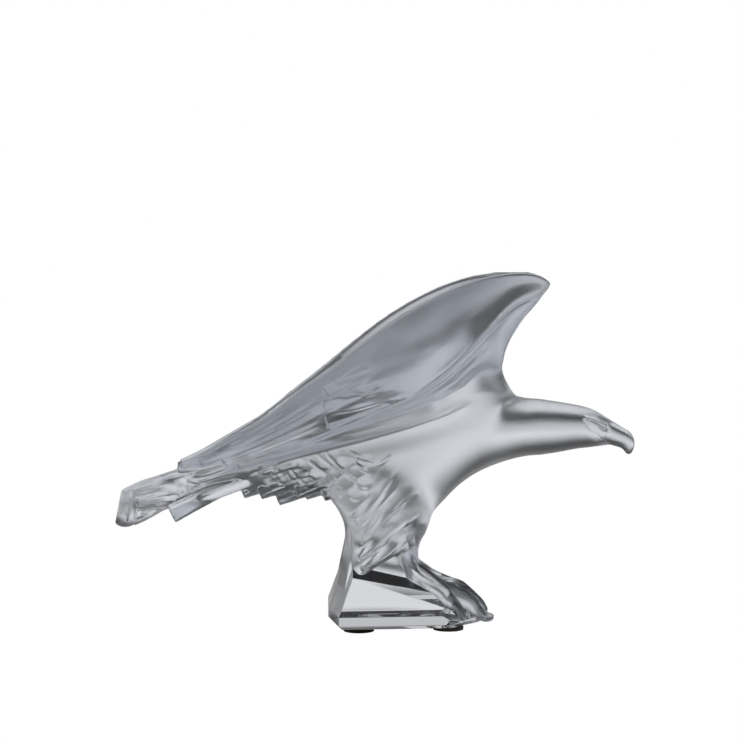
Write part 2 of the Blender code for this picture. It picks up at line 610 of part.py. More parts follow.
def block(planes):
    """A block cut by each plane in turn, so every face is flat."""
    bm = bmesh.new()
    bmesh.ops.create_cube(bm, size=1.0)
    inside = Vector((0, 0, GROUND_TO_ROCK + 0.4 * ROCK_HEIGHT))
    for corners in planes:
        a, b, c = (Vector(corner) for corner in corners)
        normal = (b - a).cross(c - a).normalized()
        if normal.dot(inside - a) > 0:
            normal.negate()
        everything = list(bm.verts) + list(bm.edges) + list(bm.faces)
        cut = bmesh.ops.bisect_plane(bm, geom=everything, plane_co=a, plane_no=normal, clear_outer=True)
        rim = [item for item in cut["geom_cut"] if isinstance(item, bmesh.types.BMEdge)]
        if rim:
            bmesh.ops.edgeloop_fill(bm, edges=rim)
    bmesh.ops.recalc_face_normals(bm, faces=bm.faces)
    return bm


def body_forms():
    """The bird's large forms, as one mesh of closed shapes that overlap."""
    forms = bmesh.new()
    add_to(forms, upright_loft(TRUNK))
    add_to(forms, upright_loft(BEAK))
    add_to(forms, upright_loft(TAIL, 3.0))
    for side in (-1, 1):
        add_to(forms, wing(side))
        for limb in (SHOULDER, THIGH, SHANK):
            add_to(forms, level_loft(limb, side))
    return forms


def softness(place):
    """How much the skin is eased here, from 0 to 1: fully on the body, not at all by the wings' edges."""
    x, y, z = place.x / UNIT, abs(place.y) / UNIT, (place.z - LIFT) / UNIT
    ridge_z, ridge_y, crown_z, crown_y = wing_rails(x)
    to_edge = min(math.hypot(y - ridge_y, z - ridge_z), math.hypot(y - crown_y, z - crown_z))
    share = clamp((to_edge - CRISP_REACH) / CRISP_REACH, 0, 1)
    for value, (low, high) in ((x, EASE_X), (z, EASE_Z)):
        share *= clamp((value - low) / EASE_FADE, 0, 1) * clamp((high - value) / EASE_FADE, 0, 1)
    return share


def ease_joins(skin):
    """Smooths the places where the body, the flanks, the shoulders and the thighs meet."""
    shares = {vert: softness(vert.co) for vert in skin.verts}
    for least in EASE_SHARES:
        soft = [vert for vert in skin.verts if shares[vert] > least]
        for _ in range(EASE_ROUNDS):
            bmesh.ops.smooth_vert(skin, verts=soft, factor=0.5, use_axis_x=True, use_axis_y=True, use_axis_z=True)


def details(tree, rock_tree):
    """The feet, the face and the feathers, laid on the eased body."""
    for side in (-1, 1):
        yield from foot(side, rock_tree)
        yield from tufts(side)
        yield from face(side)
        yield from wing_feathers(tree, side)
        yield from body_feathers(tree, side)
        yield from tail_feathers(tree, side)


def material(name, colour, roughness):
    made = bpy.data.materials.new(name)
    made.use_nodes = True
    shader = made.node_tree.nodes["Principled BSDF"]
    shader.inputs["Base Color"].default_value = (*colour, 1)
    shader.inputs["Roughness"].default_value = roughness
    shader.inputs["Metallic"].default_value = 0.0
    return made


def new_object(name, bm, made):
    mesh = bpy.data.meshes.new(name)
    bm.to_mesh(mesh)
    bm.free()
    mesh.materials.append(made)
    obj = bpy.data.objects.new(name, mesh)
    bpy.context.scene.collection.objects.link(obj)
    return obj


def melt(obj, cell):
    """Melts the object's overlapping forms into one skin with cells of this size."""
    skin = obj.modifiers.new("one skin", "REMESH")
    skin.mode = "VOXEL"
    skin.voxel_size = cell
    skin.use_smooth_shade = True


def seen_mesh(obj):
    """A copy of the object's mesh with its modifiers done."""
    bpy.context.view_layer.update()
    return bpy.data.meshes.new_from_object(obj.evaluated_get(bpy.context.evaluated_depsgraph_get()))


def make_eagle():
    """The bird's large forms in one eased skin, its details melted in, and all of it joined to the crisp rock."""
    rock = block(rock_planes())
    rock_tree = BVHTree.FromBMesh(rock)
    crystal = material(*CRYSTAL)
    bare = new_object("bare body", body_forms(), crystal)
    melt(bare, BODY_CELL)
    forms = bmesh.new()
    forms.from_mesh(seen_mesh(bare))
    bpy.data.objects.remove(bare)
    ease_joins(forms)
    for piece in list(details(BVHTree.FromBMesh(forms), rock_tree)):
        add_to(forms, piece)
    eagle = new_object("eagle", forms, crystal)
    blocks = [new_object("rock block", rock, crystal), new_object("rock core", block(core_planes()), crystal)]
    melt(eagle, FORM_CELL)
    soften = eagle.modifiers.new("soften", "SMOOTH")
    soften.factor = 0.5
    soften.iterations = 3
    skin = seen_mesh(eagle)
    thin = eagle.modifiers.new("thin", "DECIMATE")
    thin.ratio = SKIN_TRIANGLES / sum(len(face.vertices) - 2 for face in skin.polygons)
    for solid in blocks:
        solid.hide_render = True
        solid.display_type = "WIRE"
        join = eagle.modifiers.new("join the " + solid.name, "BOOLEAN")
        join.operation = "UNION"
        join.solver = "EXACT"
        join.object = solid
    return eagle


def make_pads():
    """Four felt discs under the corners of the rock's underside."""
    felt = material(*FELT)
    radius = PAD_DIAMETER / 2
    rear = rear_lines()[2] + ROCK_REAR_BEVEL + PAD_EDGE_MARGIN + radius
    front = toe_reach() - ROCK_TOE_OVERHANG - PAD_FRONT_MARGIN - radius
    y = ROCK_WIDTH / 2 - ROCK_SIDE_BEVEL - PAD_EDGE_MARGIN - radius
    for end, x in (("rear", rear), ("front", front)):
        for hand, side in (("right", -1), ("left", 1)):
            disc = bmesh.new()
            bmesh.ops.create_cone(disc, cap_ends=True, segments=PAD_SIDES, radius1=radius,
                                  radius2=radius, depth=PAD_THICKNESS)
            bmesh.ops.translate(disc, verts=disc.verts, vec=(x, side * y, PAD_THICKNESS / 2))
            pad = new_object("pad_%s_%s" % (end, hand), disc, felt)
            pad.data.shade_smooth()
            pad.data.set_sharp_from_angle(angle=math.radians(40))


def main():
    for obj in list(bpy.data.objects):
        bpy.data.objects.remove(obj)
    make_eagle()
    make_pads()


main()
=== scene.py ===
"""The looks of the crystal eagle: a satin-frosted bird cast in one with a polished faceted rock, and its felt pads.

The bird is drawn on the same grid as the part's source, and meshed finer, with the relief carved into its skin.
"""

import math

import bmesh
import bpy
import numpy as np
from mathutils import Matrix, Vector
from mathutils.bvhtree import BVHTree


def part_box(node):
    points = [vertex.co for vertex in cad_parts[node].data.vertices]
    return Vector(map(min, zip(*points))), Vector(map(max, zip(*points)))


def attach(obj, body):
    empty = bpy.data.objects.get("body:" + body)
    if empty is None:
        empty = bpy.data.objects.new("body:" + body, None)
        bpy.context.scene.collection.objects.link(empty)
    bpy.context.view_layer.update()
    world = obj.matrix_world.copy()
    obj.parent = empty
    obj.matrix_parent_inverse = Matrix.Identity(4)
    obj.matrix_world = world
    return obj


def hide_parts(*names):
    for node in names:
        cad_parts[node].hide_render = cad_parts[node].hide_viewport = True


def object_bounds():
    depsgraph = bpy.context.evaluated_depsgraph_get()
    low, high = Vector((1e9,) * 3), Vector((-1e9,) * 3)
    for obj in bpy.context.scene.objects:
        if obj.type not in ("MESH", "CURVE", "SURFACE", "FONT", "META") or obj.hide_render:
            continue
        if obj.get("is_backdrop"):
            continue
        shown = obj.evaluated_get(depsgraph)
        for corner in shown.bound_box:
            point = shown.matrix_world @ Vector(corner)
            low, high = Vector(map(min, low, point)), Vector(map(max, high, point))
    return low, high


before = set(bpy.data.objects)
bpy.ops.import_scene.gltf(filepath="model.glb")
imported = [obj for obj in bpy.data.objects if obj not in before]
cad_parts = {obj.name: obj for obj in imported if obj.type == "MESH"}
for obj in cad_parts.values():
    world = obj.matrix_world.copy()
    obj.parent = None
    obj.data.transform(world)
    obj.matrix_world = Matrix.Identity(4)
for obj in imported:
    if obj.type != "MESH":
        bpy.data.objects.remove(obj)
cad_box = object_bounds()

# Driving dimensions, metres.
EAGLE_LENGTH = 0.343  # the end of the tail to the front of the beak
ROCK_HEIGHT = 0.049  # underside to the crest at the back of the legs
ROCK_WIDTH = 0.084  # side to side at its foot
ROCK_SIDE_HEIGHT = 0.0345  # underside to the top edge of a side face, at its rear end
ROCK_FRONT_HEIGHT = 0.0165  # underside to the top edge of the front face, under the toes
ROCK_SIDE_LEAN = 0.0015  # how far a side face leans in towards its top
ROCK_REAR_LEAN = 0.0150  # how far the rear prow leans forward up to the crest
ROCK_REAR_FOOT = 0.0090  # how high the rear prow stands upright before it leans
ROCK_REAR_MARGIN = 0.0117  # the rear prow behind the backs of the legs
CORE_RISE = 0.026  # how far the rock goes up above its crest between the legs, into the belly
CORE_LEAN = 0.007  # how far the sides of that part lean in
CORE_REAR_LEAN = 0.0103  # how far its rear leans forward
ROCK_TOE_OVERHANG = 0.0010  # how far the longest claws reach past the rock's front
ROCK_REAR_BEVEL = 0.0022  # the slope under the rear prow
ROCK_FRONT_BEVEL = 0.0050  # the slope under the front
ROCK_SIDE_BEVEL = 0.0022  # the slope under the side faces
ROCK_SIDE_END = 0.0218  # where a side face ends, behind the rock's front
ROCK_FRONT_FLAT = 0.040  # the width of the middle part of the front face
PAD_THICKNESS = 0.0025
PAD_GAP = 0.0003  # the glue line between a pad and the crystal
PAD_SIDES = 64
PAD_RIM = 0.0005  # how far a pad's rim is rounded
PAD_INSETS = (0.0012, 0.004)  # the rings of faces on a pad's flat sides, from the rim inward

# The eagle's drawing grid.
GRID_STEPS = 343
UNIT = EAGLE_LENGTH / GRID_STEPS
CREST_GRID_Z = 49.8  # the height on the grid at which the rock's crest meets the legs
LEG_BACK_GRID_X = -21.5  # the backs of the legs where they meet the rock
SHANK_GRID_X = 13.0  # the middle of a shank, where the taller part of the rock ends
GROUND_TO_ROCK = PAD_THICKNESS + PAD_GAP
LIFT = GROUND_TO_ROCK + ROCK_HEIGHT - CREST_GRID_Z * UNIT

# Where the large forms are eased into each other, on the grid.
EASE_X = (-54, 108)
EASE_Z = (60, 174)
EASE_FADE = 12  # the distance over which the easing fades out
EASE_ROUNDS = 24  # more than in the part's source, because the cells are smaller
EASE_SHARES = (0.1, 0.4, 0.8)  # each turn of rounds goes to the skin softer than this
CRISP_REACH = 8  # how far from the wings' ridges and crowns the skin keeps its edges
# Where the skin flows on still softer, by low x, high x, low z and high z: the neck's root and the thigh's front.
SOFT_SPOTS = ((62, 112, 118, 176), (-28, 74, 68, 130))
SOFT_ROUNDS = 32
SOFT_MARGINS = (0, 4, 8)  # each turn of rounds goes to the spot's middle, this far from its edges
SOFT_LEAST = 0.3  # skin that is crisper than this is left as it is

# How finely the crystal is meshed.
BODY_CELL = 1.2 * UNIT
FORM_CELL = 0.8 * UNIT
SKIN_TRIANGLES = 180000
RING_POINTS = 48
ADDED_ROWS = 5
ROCK_EDGE = 0.0005  # how far the edges of the rock's facets are eased

# The trunk from tail to face: top x, top z, bottom x, bottom z, half width.
TRUNK = (
    (-136, 91, -138, 80, 6),
    (-118, 95, -120, 80, 9.5),
    (-91, 104, -91, 88, 13),
    (-62, 113, -62, 87, 18),
    (-38, 120, -37, 85, 24),
    (-15, 129, -11, 72, 29),
    (8, 136, 14, 67, 33),
    (28, 141, 36, 73, 34.5),
    (48, 145, 51, 88.3, 34),
    (68, 147.8, 66, 98.3, 31),
    (85, 148.4, 81.5, 104.5, 25.5),
    (96, 148.2, 97.5, 108.2, 20.5),
    (108, 146.6, 108.5, 109.3, 17),
    (121, 144.6, 121, 111.0, 14.8),
    (134, 142.3, 132, 113.0, 13.4),
    (143.5, 139.6, 141, 113.9, 11.6),
    (151, 135.6, 149, 114.8, 8.8),
    (157, 131.6, 154.5, 115.5, 5.8),
)
# The hooked beak: top x, top z, bottom x, bottom z, half width.
BEAK = (
    (150, 134.5, 149, 116, 5.2),
    (157.5, 131.4, 155, 115.7, 5.8),
    (164, 127.6, 160, 114.3, 5.2),
    (169, 124.6, 164, 112.9, 4.4),
    (172, 120.6, 166, 110.9, 3.6),
    (172.9, 115.6, 166.8, 109.4, 2.8),
    (171, 109.2, 167.6, 108.4, 1.2),
)
# The wing's rails by x. Each row: x, ridge z, ridge y, crown z, crown y, foot z, foot y, inner z, inner y.
# The ridge is its outer lower line, the crown its top edge, the foot where its flank ends, inner the side
# that faces the other wing. It stands clear of the body ahead of the shoulder, and grows out of it behind.
WING = (
    (108.2, 222.6, 36.5, 224.0, 36.0, 221.4, 36.0, 222.2, 34.5),
    (103.8, 221.2, 38.0, 227.4, 35.0, 216.2, 37.0, 217.8, 31.5),
    (98.0, 219.0, 39.8, 229.9, 34.0, 208.8, 37.0, 210.8, 29.0),
    (91.4, 216.8, 41.4, 230.8, 33.2, 201.2, 36.6, 204.0, 27.0),
    (85.4, 213.9, 42.8, 230.8, 32.6, 192.2, 36.0, 195.6, 25.0),
    (80.5, 210.6, 43.9, 230.4, 32.2, 182.6, 35.0, 186.2, 23.0),
    (77.8, 208.3, 44.4, 230.0, 32.0, 170.5, 33.0, 174.5, 20.0),
    (73.0, 203.8, 45.2, 229.3, 31.8, 128.0, 28.0, 142.0, 12.0),
    (67.0, 197.4, 46.2, 228.2, 31.6, 117.0, 29.0, 139.0, 10.0),
    (56.6, 186.6, 47.4, 225.2, 31.4, 113.0, 31.0, 137.0, 9.0),
    (45.8, 176.1, 48.2, 221.3, 31.2, 111.0, 32.0, 136.0, 8.5),
    (33.0, 165.0, 48.6, 215.6, 30.8, 109.0, 32.5, 134.0, 8.0),
    (17.0, 153.6, 48.0, 206.8, 29.4, 106.0, 31.5, 131.0, 7.5),
    (2.0, 146.2, 46.2, 197.0, 27.6, 104.0, 29.5, 127.0, 7.0),
    (-14.0, 139.0, 43.4, 185.0, 25.2, 102.0, 26.5, 122.0, 6.5),
    (-32.0, 131.3, 39.2, 170.8, 22.0, 99.0, 22.5, 116.5, 5.5),
    (-53.0, 122.8, 33.6, 154.8, 17.8, 96.5, 18.0, 110.0, 4.5),
    (-77.0, 113.5, 26.6, 136.4, 13.8, 93.5, 13.5, 103.0, 4.0),
    (-99.0, 105.2, 19.6, 123.6, 10.6, 89.5, 9.5, 96.0, 3.0),
    (-114.0, 99.6, 14.8, 114.8, 8.6, 86.5, 7.0, 92.0, 2.0),
    (-126.0, 97.4, 11.8, 108.6, 7.6, 87.0, 5.0, 90.0, 2.0),
    (-132.0, 96.6, 10.6, 106.2, 7.2, 87.0, 4.6, 90.0, 2.0),
)
CROWN_HALF_THICKNESS = 2.3
FACE_HOLLOW = 0.09  # how deep the outer face curves in, as a part of its height
FACE_SHARES = (0.15, 0.3, 0.45, 0.6, 0.72, 0.84, 0.94)  # where the outer face is drawn, from crown to ridge
BAND = 5.0  # the upright edge under the ridge, at the wrist
DIMPLE = (35.6, 181.0, 13.0, 9.0, 2.2)  # the hollow in the wing's face: x, z, its reach along each, its depth
# Limbs, from top to bottom: back x, front x, z, middle y, half y.
SHOULDER = (
    (58, 76.0, 186, 33.5, 7),
    (54, 76.5, 175, 30.5, 9),
    (50, 79.1, 166, 26.5, 12),
    (46, 85.4, 157.5, 21.5, 15),
    (42, 92.0, 150, 12, 13),
    (37, 91.0, 142, 7, 12),
    (32, 80.0, 132, 5, 12),
)
THIGH = (
    (-24, 46, 112, 15, 14),
    (-34.6, 45, 96, 17, 15.8),
    (-33.8, 39.6, 84, 18.5, 17.0),
    (-27.4, 33.6, 74, 19.7, 17.4),
    (-21.4, 28.6, 64, 20.5, 17),
    (-20.0, 22.3, 54, 21, 16),
    (-21, 8, 46, 22, 14.5),
    (-20.8, -5, 39, 23.5, 12.5),
    (-20.6, -13, 34, 26, 10),
)
SHANK = (
    (4, 34.5, 74, 18, 13),
    (7, 30.0, 63, 20, 12),
    (8, 25.8, 56, 20.5, 11),
    (9, 24.0, 50, 21, 10.5),
    (9, 24.4, 43.5, 21, 11),
    (12, 27.0, 37.5, 21, 12),
    (15, 30.0, 31, 21, 13),
    (18, 34, 22, 21, 12),
)
# Toes from the shank out. Each joint: x, y, radius, and how far its middle stands above the rock, in radii.
TOES = (
    ((20, 24, 8, 0.2), (30, 31, 7.2, 0.05), (37, 35.5, 6.4, 0.1), (41, 38, 5, 0.4)),
    ((22, 21, 8.3, -0.1), (38, 24, 7.6, -0.35), (54, 26.5, 6.8, 0.0), (61, 27.5, 5.2, 0.15)),
    ((22, 17, 8.3, -0.2), (38, 13.5, 7.6, -0.6), (53, 10.5, 7.0, -0.05), (60, 9.5, 5.4, 0.3)),
)
# A claw past its toe: its share of the reach, its share of the fall, and its radius.
CLAW = ((0.55, 0.30, 3.6), (0.9, 0.74, 2.5), (1.0, 1.0, 1.5))
CLAW_REACH = 12.0
CLAW_FALL = 14.0
CLAW_CLEARANCE = 5.2  # the tip of the lowest claw above the rock's underside
# The tail from its root to its blunt end: top x, top z, bottom x, bottom z, half width.
TAIL = (
    (-96, 103.5, -96, 87, 9),
    (-120, 101.0, -121, 82, 10.5),
    (-131, 102.0, -132, 78.8, 12.5),
    (-145, 97.9, -147, 72.9, 14),
    (-156, 94.5, -159, 67.0, 15),
    (-161.8, 91.9, -165.0, 64.6, 14),
    (-166.4, 89.9, -170.4, 65.2, 10),
    (-168.8, 88.8, -173.0, 67.0, 5),
)
# The raised strips on the tail's side, and their widths: each a path of x, z.
TAIL_STRIPS = (
    ((-104, 98), (-131, 95.0), (-145, 91.6), (-161, 87.6)),
    ((-126, 84), (-140, 81.0), (-150, 79.0), (-158, 77.6)),
    ((-134, 79), (-143, 75.4), (-152, 72.2), (-161, 69.2)),
    ((-159.6, 90), (-160.6, 83), (-161.6, 76), (-162.4, 68.5)),
)
TAIL_STRIP_WIDTHS = (8.0, 2.2, 6.0, 5.0)
TAIL_STRIP_THICKNESS = 5.0
TAIL_STRIP_PROUD = 2.0
# The outermost tail feather, lower and shorter: x, y, z along it.
TAIL_SIDE_FEATHER = ((-80, 9, 97.0), (-105, 12, 89.0), (-124, 14.5, 80.4), (-136.6, 15.5, 74.2))
SIDE_FEATHER_WIDTHS = (7.5, 8.5, 10.5, 12.0)
SIDE_FEATHER_THICKNESS = 8.0
# Tufts under the tail: the tip's x, y and z.
TUFTS = ((-90, 4, 86.3), (-79, 11, 86.3), (-67, 7, 81.8), (-55, 15, 86.6), (-49, 4, 84.9), (-38, 15, 85))
TUFT_LENGTH = 26
TUFT_RISE = 9  # how much higher its root is than its tip
TUFT_WIDTHS = (8, 11, 11, 8)
TUFT_THICKNESS = 7.0
# Feathers laid on the outer face, each a path of x, z.
LONG_FOLD = ((60, 152.6), (53, 148), (39.8, 143.4), (24.6, 138.4), (6.8, 132.4), (-15, 126.5), (-38.8, 120.6),
             (-54.8, 117.0), (-73.9, 111.6), (-93, 105.6))
THIGH_LOCKS = (
    ((8.9, 108.7), (-8, 84.4), (-19, 70.3)),
    ((11.5, 100.3), (-4.1, 81.1), (-15, 68)),
    ((13, 90), (-2.8, 77), (-14, 60)),
    ((17, 78), (2, 64), (-16, 46)),
    ((19, 66), (4, 52.5), (-14, 40.5)),
)
# The wing's feathers run by share of its height, from 0 at the ridge to 1 at the crown.
COVERTS = (  # from x, to x, share, and its part of the height
    (18, -36.5, 0.13, 0.26),
    (4, -37.5, 0.37, 0.24),
    (2, -36.0, 0.60, 0.20),
)
PRIMARIES = ((-101, 0.08), (-103, 0.25), (-116, 0.42), (-118, 0.58), (-130, 0.74), (-130, 0.9))
PRIMARY_START = -24
PRIMARY_PART = 0.17  # a primary's part of the wing's height
PRIMARY_THICKNESS = 4.0
PRIMARY_PROUD = 2.0  # how far its tip stands out of the wing's face
PRIMARY_TILT = 0.46  # how far each primary leans over the next, as a slope
COVERT_THICKNESS = 5.5
COVERT_PROUD = 3.8
COVERT_TILT = 0.08
ROOT_DEPTH = 2.4  # how deep under the surface a feather starts
WING_FEATHER_STEPS = 14
# The long fold under the wing and the locks on the thigh.
FOLD_END_WIDTH = 3.2
FOLD_SWELL = 4.8  # how much wider it is in its middle
FOLD_THICKNESS = 4.5
FOLD_PROUD = 1.6
LOCK_WIDTH = 6.5
LOCK_THICKNESS = 3.5
LOCK_PROUD = 1.5
LOCK_TILT = 0.15
# The small scales on the flank, in rows that run back from the thigh.
SCALE_ROWS = 4
SCALES_IN_ROW = 6
SCALE_START = -3.0
SCALE_STEP = 12.5
SCALE_SHIFT = 5.0  # how far back every second row starts
SCALE_TOP = 117.8  # the height of the rows' upper limit at x 0, and how it goes on with x
SCALE_TOP_SLOPE = 0.16
SCALE_BOTTOM = 87.8
SCALE_BOTTOM_SLOPE = -0.05
SCALE_FALL = 0.55  # the slope of the first scale of a row
SCALE_FALL_LESS = 0.06  # how much flatter each next one lies
SCALE_PATH = (0, 3, 6, 9, 12, 14)
SCALE_WIDTH = 8.5
SCALE_THICKNESS = 3.0
SCALE_PROUD = 1.3
SCALE_TILT = 0.1
# The face: the brow's path with its widths, and the eye.
BROW = ((136, 11.5, 134.5), (144, 10.2, 131.8), (151.5, 7.8, 127.4))
BROW_WIDTHS = (2.8, 3.2, 1.8)
BROW_THICKNESS = 3.2
EYE = (150.6, 6.5, 126.2)
EYE_RADIUS = 1.8

# The finer carving.
CARVE_SHARE = 0.65  # how much of the depths drawn below is cut into the etched skin
SKIN_ROUNDS = 6  # how often the skin is smoothed, as etching rounds it
STROKE_REACH = 3  # how far a stroke goes on, in its widths
RECESS_EDGE = 0.6  # half the width of the slope round a recess
PRIMARY_GAP_START = -38  # where the gaps between the primaries start, and their width and depth
PRIMARY_GAP = (1.5, 1.2)
COVERT_HOLLOW = (3.0, 1.4)  # the hollow along a covert's middle, and the groove under it
COVERT_EDGE = (1.1, 0.7)
HAIR_LINE = (1.0, 0.8)  # the lines between the locks on the thigh
# The carving on the body, drawn as it shows from the side: lines of x, z, then width and depth.
RELIEF = (
    (((58, 146.5), (40, 138), (16, 130), (-15, 121), (-50, 112), (-85, 102)), 2.4, 1.8),
    (((64, 168), (52, 157), (36, 149), (14, 141), (-14, 132), (-38, 125.5)), 1.8, 1.4),
    (((70, 190), (58, 174), (44, 161), (28, 151), (10, 143)), 1.5, -0.8),
    (((-36.6, 139.5), (-18, 144.5), (2, 149), (16, 152)), 1.2, 1.3),
    (((-36.3, 150.5), (-22, 152.5), (-7.3, 153.0), (2, 156)), 1.3, 1.4),
    (((-36.3, 158), (-28, 162.5), (-18, 166.3), (-8.6, 169.4)), 1.3, 1.3),
    (((-34, 157), (-24, 159.5), (-12, 161)), 2.2, 1.2),
    (((-99.7, 117.6), (-92, 120.5), (-80, 125.5), (-66, 131)), 1.0, 1.3),
    (((15, 67.7), (7.2, 62.6), (-1.3, 57.5)), 1.5, 1.3),
    (((19.2, 61.4), (11.4, 55), (4.7, 46.3), (-5.6, 41.8)), 1.2, 0.9),
    (((24, 89), (14, 84), (6, 75)), 1.2, 0.6),
    (((24, 74), (16, 68), (10, 62)), 1.1, 0.6),
    (((6, 113), (-2, 107), (-10, 104)), 1.0, 0.8),
    (((-7.8, 100), (-13, 103), (-18.8, 108), (-18.8, 113)), 1.0, 0.9),
    (((-9, 89), (-14, 91), (-18, 94), (-18, 98)), 1.0, 0.9),
    (((-4, 108), (-14, 111), (-24, 116)), 1.0, 0.7),
    (((-19, 97), (-28, 104), (-38, 115)), 0.9, 1.0),
    (((-24, 98), (-33, 105), (-43, 113)), 0.9, 0.9),
    (((-30, 95), (-38, 101), (-48, 109)), 0.9, 0.9),
    (((-44, 98), (-56, 96), (-66, 92)), 1.0, 1.1),
    (((-50, 104), (-62, 102), (-74, 97)), 1.0, 1.0),
    (((-60, 107), (-74, 104), (-86, 99)), 1.0, 1.0),
    (((-46, 90), (-54, 96), (-60, 103)), 1.0, 1.1),
    (((-58, 88), (-66, 94), (-72, 101)), 1.0, 1.1),
    (((-70, 88), (-78, 93), (-84, 99)), 1.0, 1.0),
    (((-84, 97), (-104, 91), (-120, 85)), 1.0, 1.0),
    (((-88, 102), (-106, 98), (-122, 92)), 1.2, 1.2),
    (((-126, 99), (-127, 92), (-128, 84)), 1.1, 1.2),
    (((-138.6, 93.6), (-146, 91.5), (-158, 88.4)), 0.9, 0.6),
    (((138.2, 129.6), (141.5, 126), (145.4, 123.2), (151, 118.9)), 0.8, 0.8),
    (((145, 128), (149, 125.2), (152.6, 124.6)), 0.7, 0.8),
    (((154, 126.2), (151.7, 122.9), (153.2, 116.2)), 0.6, 0.6),
    (((149, 119.2), (155, 117.8), (161, 117.2), (165, 114.8)), 0.5, 0.5),
    (((136.1, 134), (143.9, 132.2), (150.2, 126.9)), 0.8, -0.4),
    (((11, 52), (16, 42), (24, 34), (34, 29)), 1.1, 0.9),
    (((16, 52), (22, 43), (32, 36), (44, 30), (54, 22)), 1.0, 0.9),
    (((21, 50), (28, 43), (40, 38), (52, 33), (62, 22)), 0.9, 0.8),
    (((13, 62), (17, 52), (19, 46)), 1.0, 0.7),
    (((20, 62), (22, 52), (25, 45)), 1.0, 0.6),
)
# Flat-bottomed recesses in the tail's side: a line of x, z, half the width, and the depth.
RECESSES = (
    (((-156.0, 81.6), (-133.4, 84.8)), 3.0, 1.7),
    (((-155.4, 76.2), (-138.6, 79.0)), 1.4, 1.1),
)


def grid(x, y, z):
    """A point of the eagle's grid, as a place in metres."""
    return Vector((x, y, z)) * UNIT + Vector((0, 0, LIFT))


def spline(rows, between=ADDED_ROWS):
    """The rows with more rows between each two, on one smooth curve through them all."""
    rows = [Vector(row) for row in rows]
    ends = [rows[0] * 2 - rows[1]] + rows + [rows[-1] * 2 - rows[-2]]
    smooth = []
    for a, b, c, d in zip(ends, ends[1:], ends[2:], ends[3:]):
        for step in range(between + 1):
            t = step / (between + 1)
            smooth.append(
                (b * 2 + (c - a) * t + (a * 2 - b * 5 + c * 4 - d) * t**2 + (b * 3 - a - c * 3 + d) * t**3) / 2
            )
    return smooth + [rows[-1]]


def clamp(value, low, high):
    return max(low, min(high, value))


def ring(centre, across, along, squareness=2.0, count=RING_POINTS):
    """Points round an oval with these two half axes. Squareness 2 is an ellipse, and more is squarer."""
    points = []
    for i in range(count):
        angle = math.tau * i / count
        c, s = math.cos(angle), math.sin(angle)
        u = math.copysign(abs(c) ** (2 / squareness), c)
        v = math.copysign(abs(s) ** (2 / squareness), s)
        points.append(centre + across * u + along * v)
    return points


def loft(rings):
    """A closed mesh through the rings, with its two ends capped."""
    bm = bmesh.new()
    loops = [[bm.verts.new(point) for point in points] for points in rings]
    count = len(loops[0])
    for first, second in zip(loops, loops[1:]):
        for i in range(count):
            j = (i + 1) % count
            bm.faces.new((first[i], first[j], second[j], second[i]))
    bm.faces.new(loops[0][::-1])
    bm.faces.new(loops[-1])
    bmesh.ops.recalc_face_normals(bm, faces=bm.faces)
    return bm


def add_to(target, piece):
    """Joins one loose closed form to the others."""
    mesh = bpy.data.meshes.new("form")
    piece.to_mesh(mesh)
    piece.free()
    target.from_mesh(mesh)
    bpy.data.meshes.remove(mesh)


def upright_loft(rows, squareness=2.2):
    """A loft from rows of top x, top z, bottom x, bottom z, half width, along the middle of the bird."""
    rings = []
    for top_x, top_z, bottom_x, bottom_z, half_width in spline(rows):
        top, bottom = grid(top_x, 0, top_z), grid(bottom_x, 0, bottom_z)
        rings.append(ring((top + bottom) / 2, (top - bottom) / 2, Vector((0, half_width * UNIT, 0)), squareness))
    return loft(rings)


def level_loft(rows, side, squareness=2.3):
    """A loft from rows of back x, front x, z, middle y, half y, for a limb that goes down."""
    rings = []
    for back_x, front_x, z, middle_y, half_y in spline(rows):
        centre = grid((back_x + front_x) / 2, side * middle_y, z)
        across = Vector(((front_x - back_x) / 2 * UNIT, 0, 0))
        rings.append(ring(centre, across, Vector((0, half_y * UNIT, 0)), squareness))
    return loft(rings)


def blade(path, out, widths, thicknesses, squareness=4.0):
    """A bar along a path of places. Out is the way its flat side faces, one for all or one for each place."""
    rings = []
    for i, place in enumerate(path):
        along = (path[min(i + 1, len(path) - 1)] - path[max(i - 1, 0)]).normalized()
        facing = out[i] if isinstance(out, list) else out
        across = along.cross(facing).normalized()
        up = across.cross(along).normalized()
        rings.append(ring(place, across * widths[i] / 2, up * thicknesses[i] / 2, squareness, 16))
    return loft(rings)


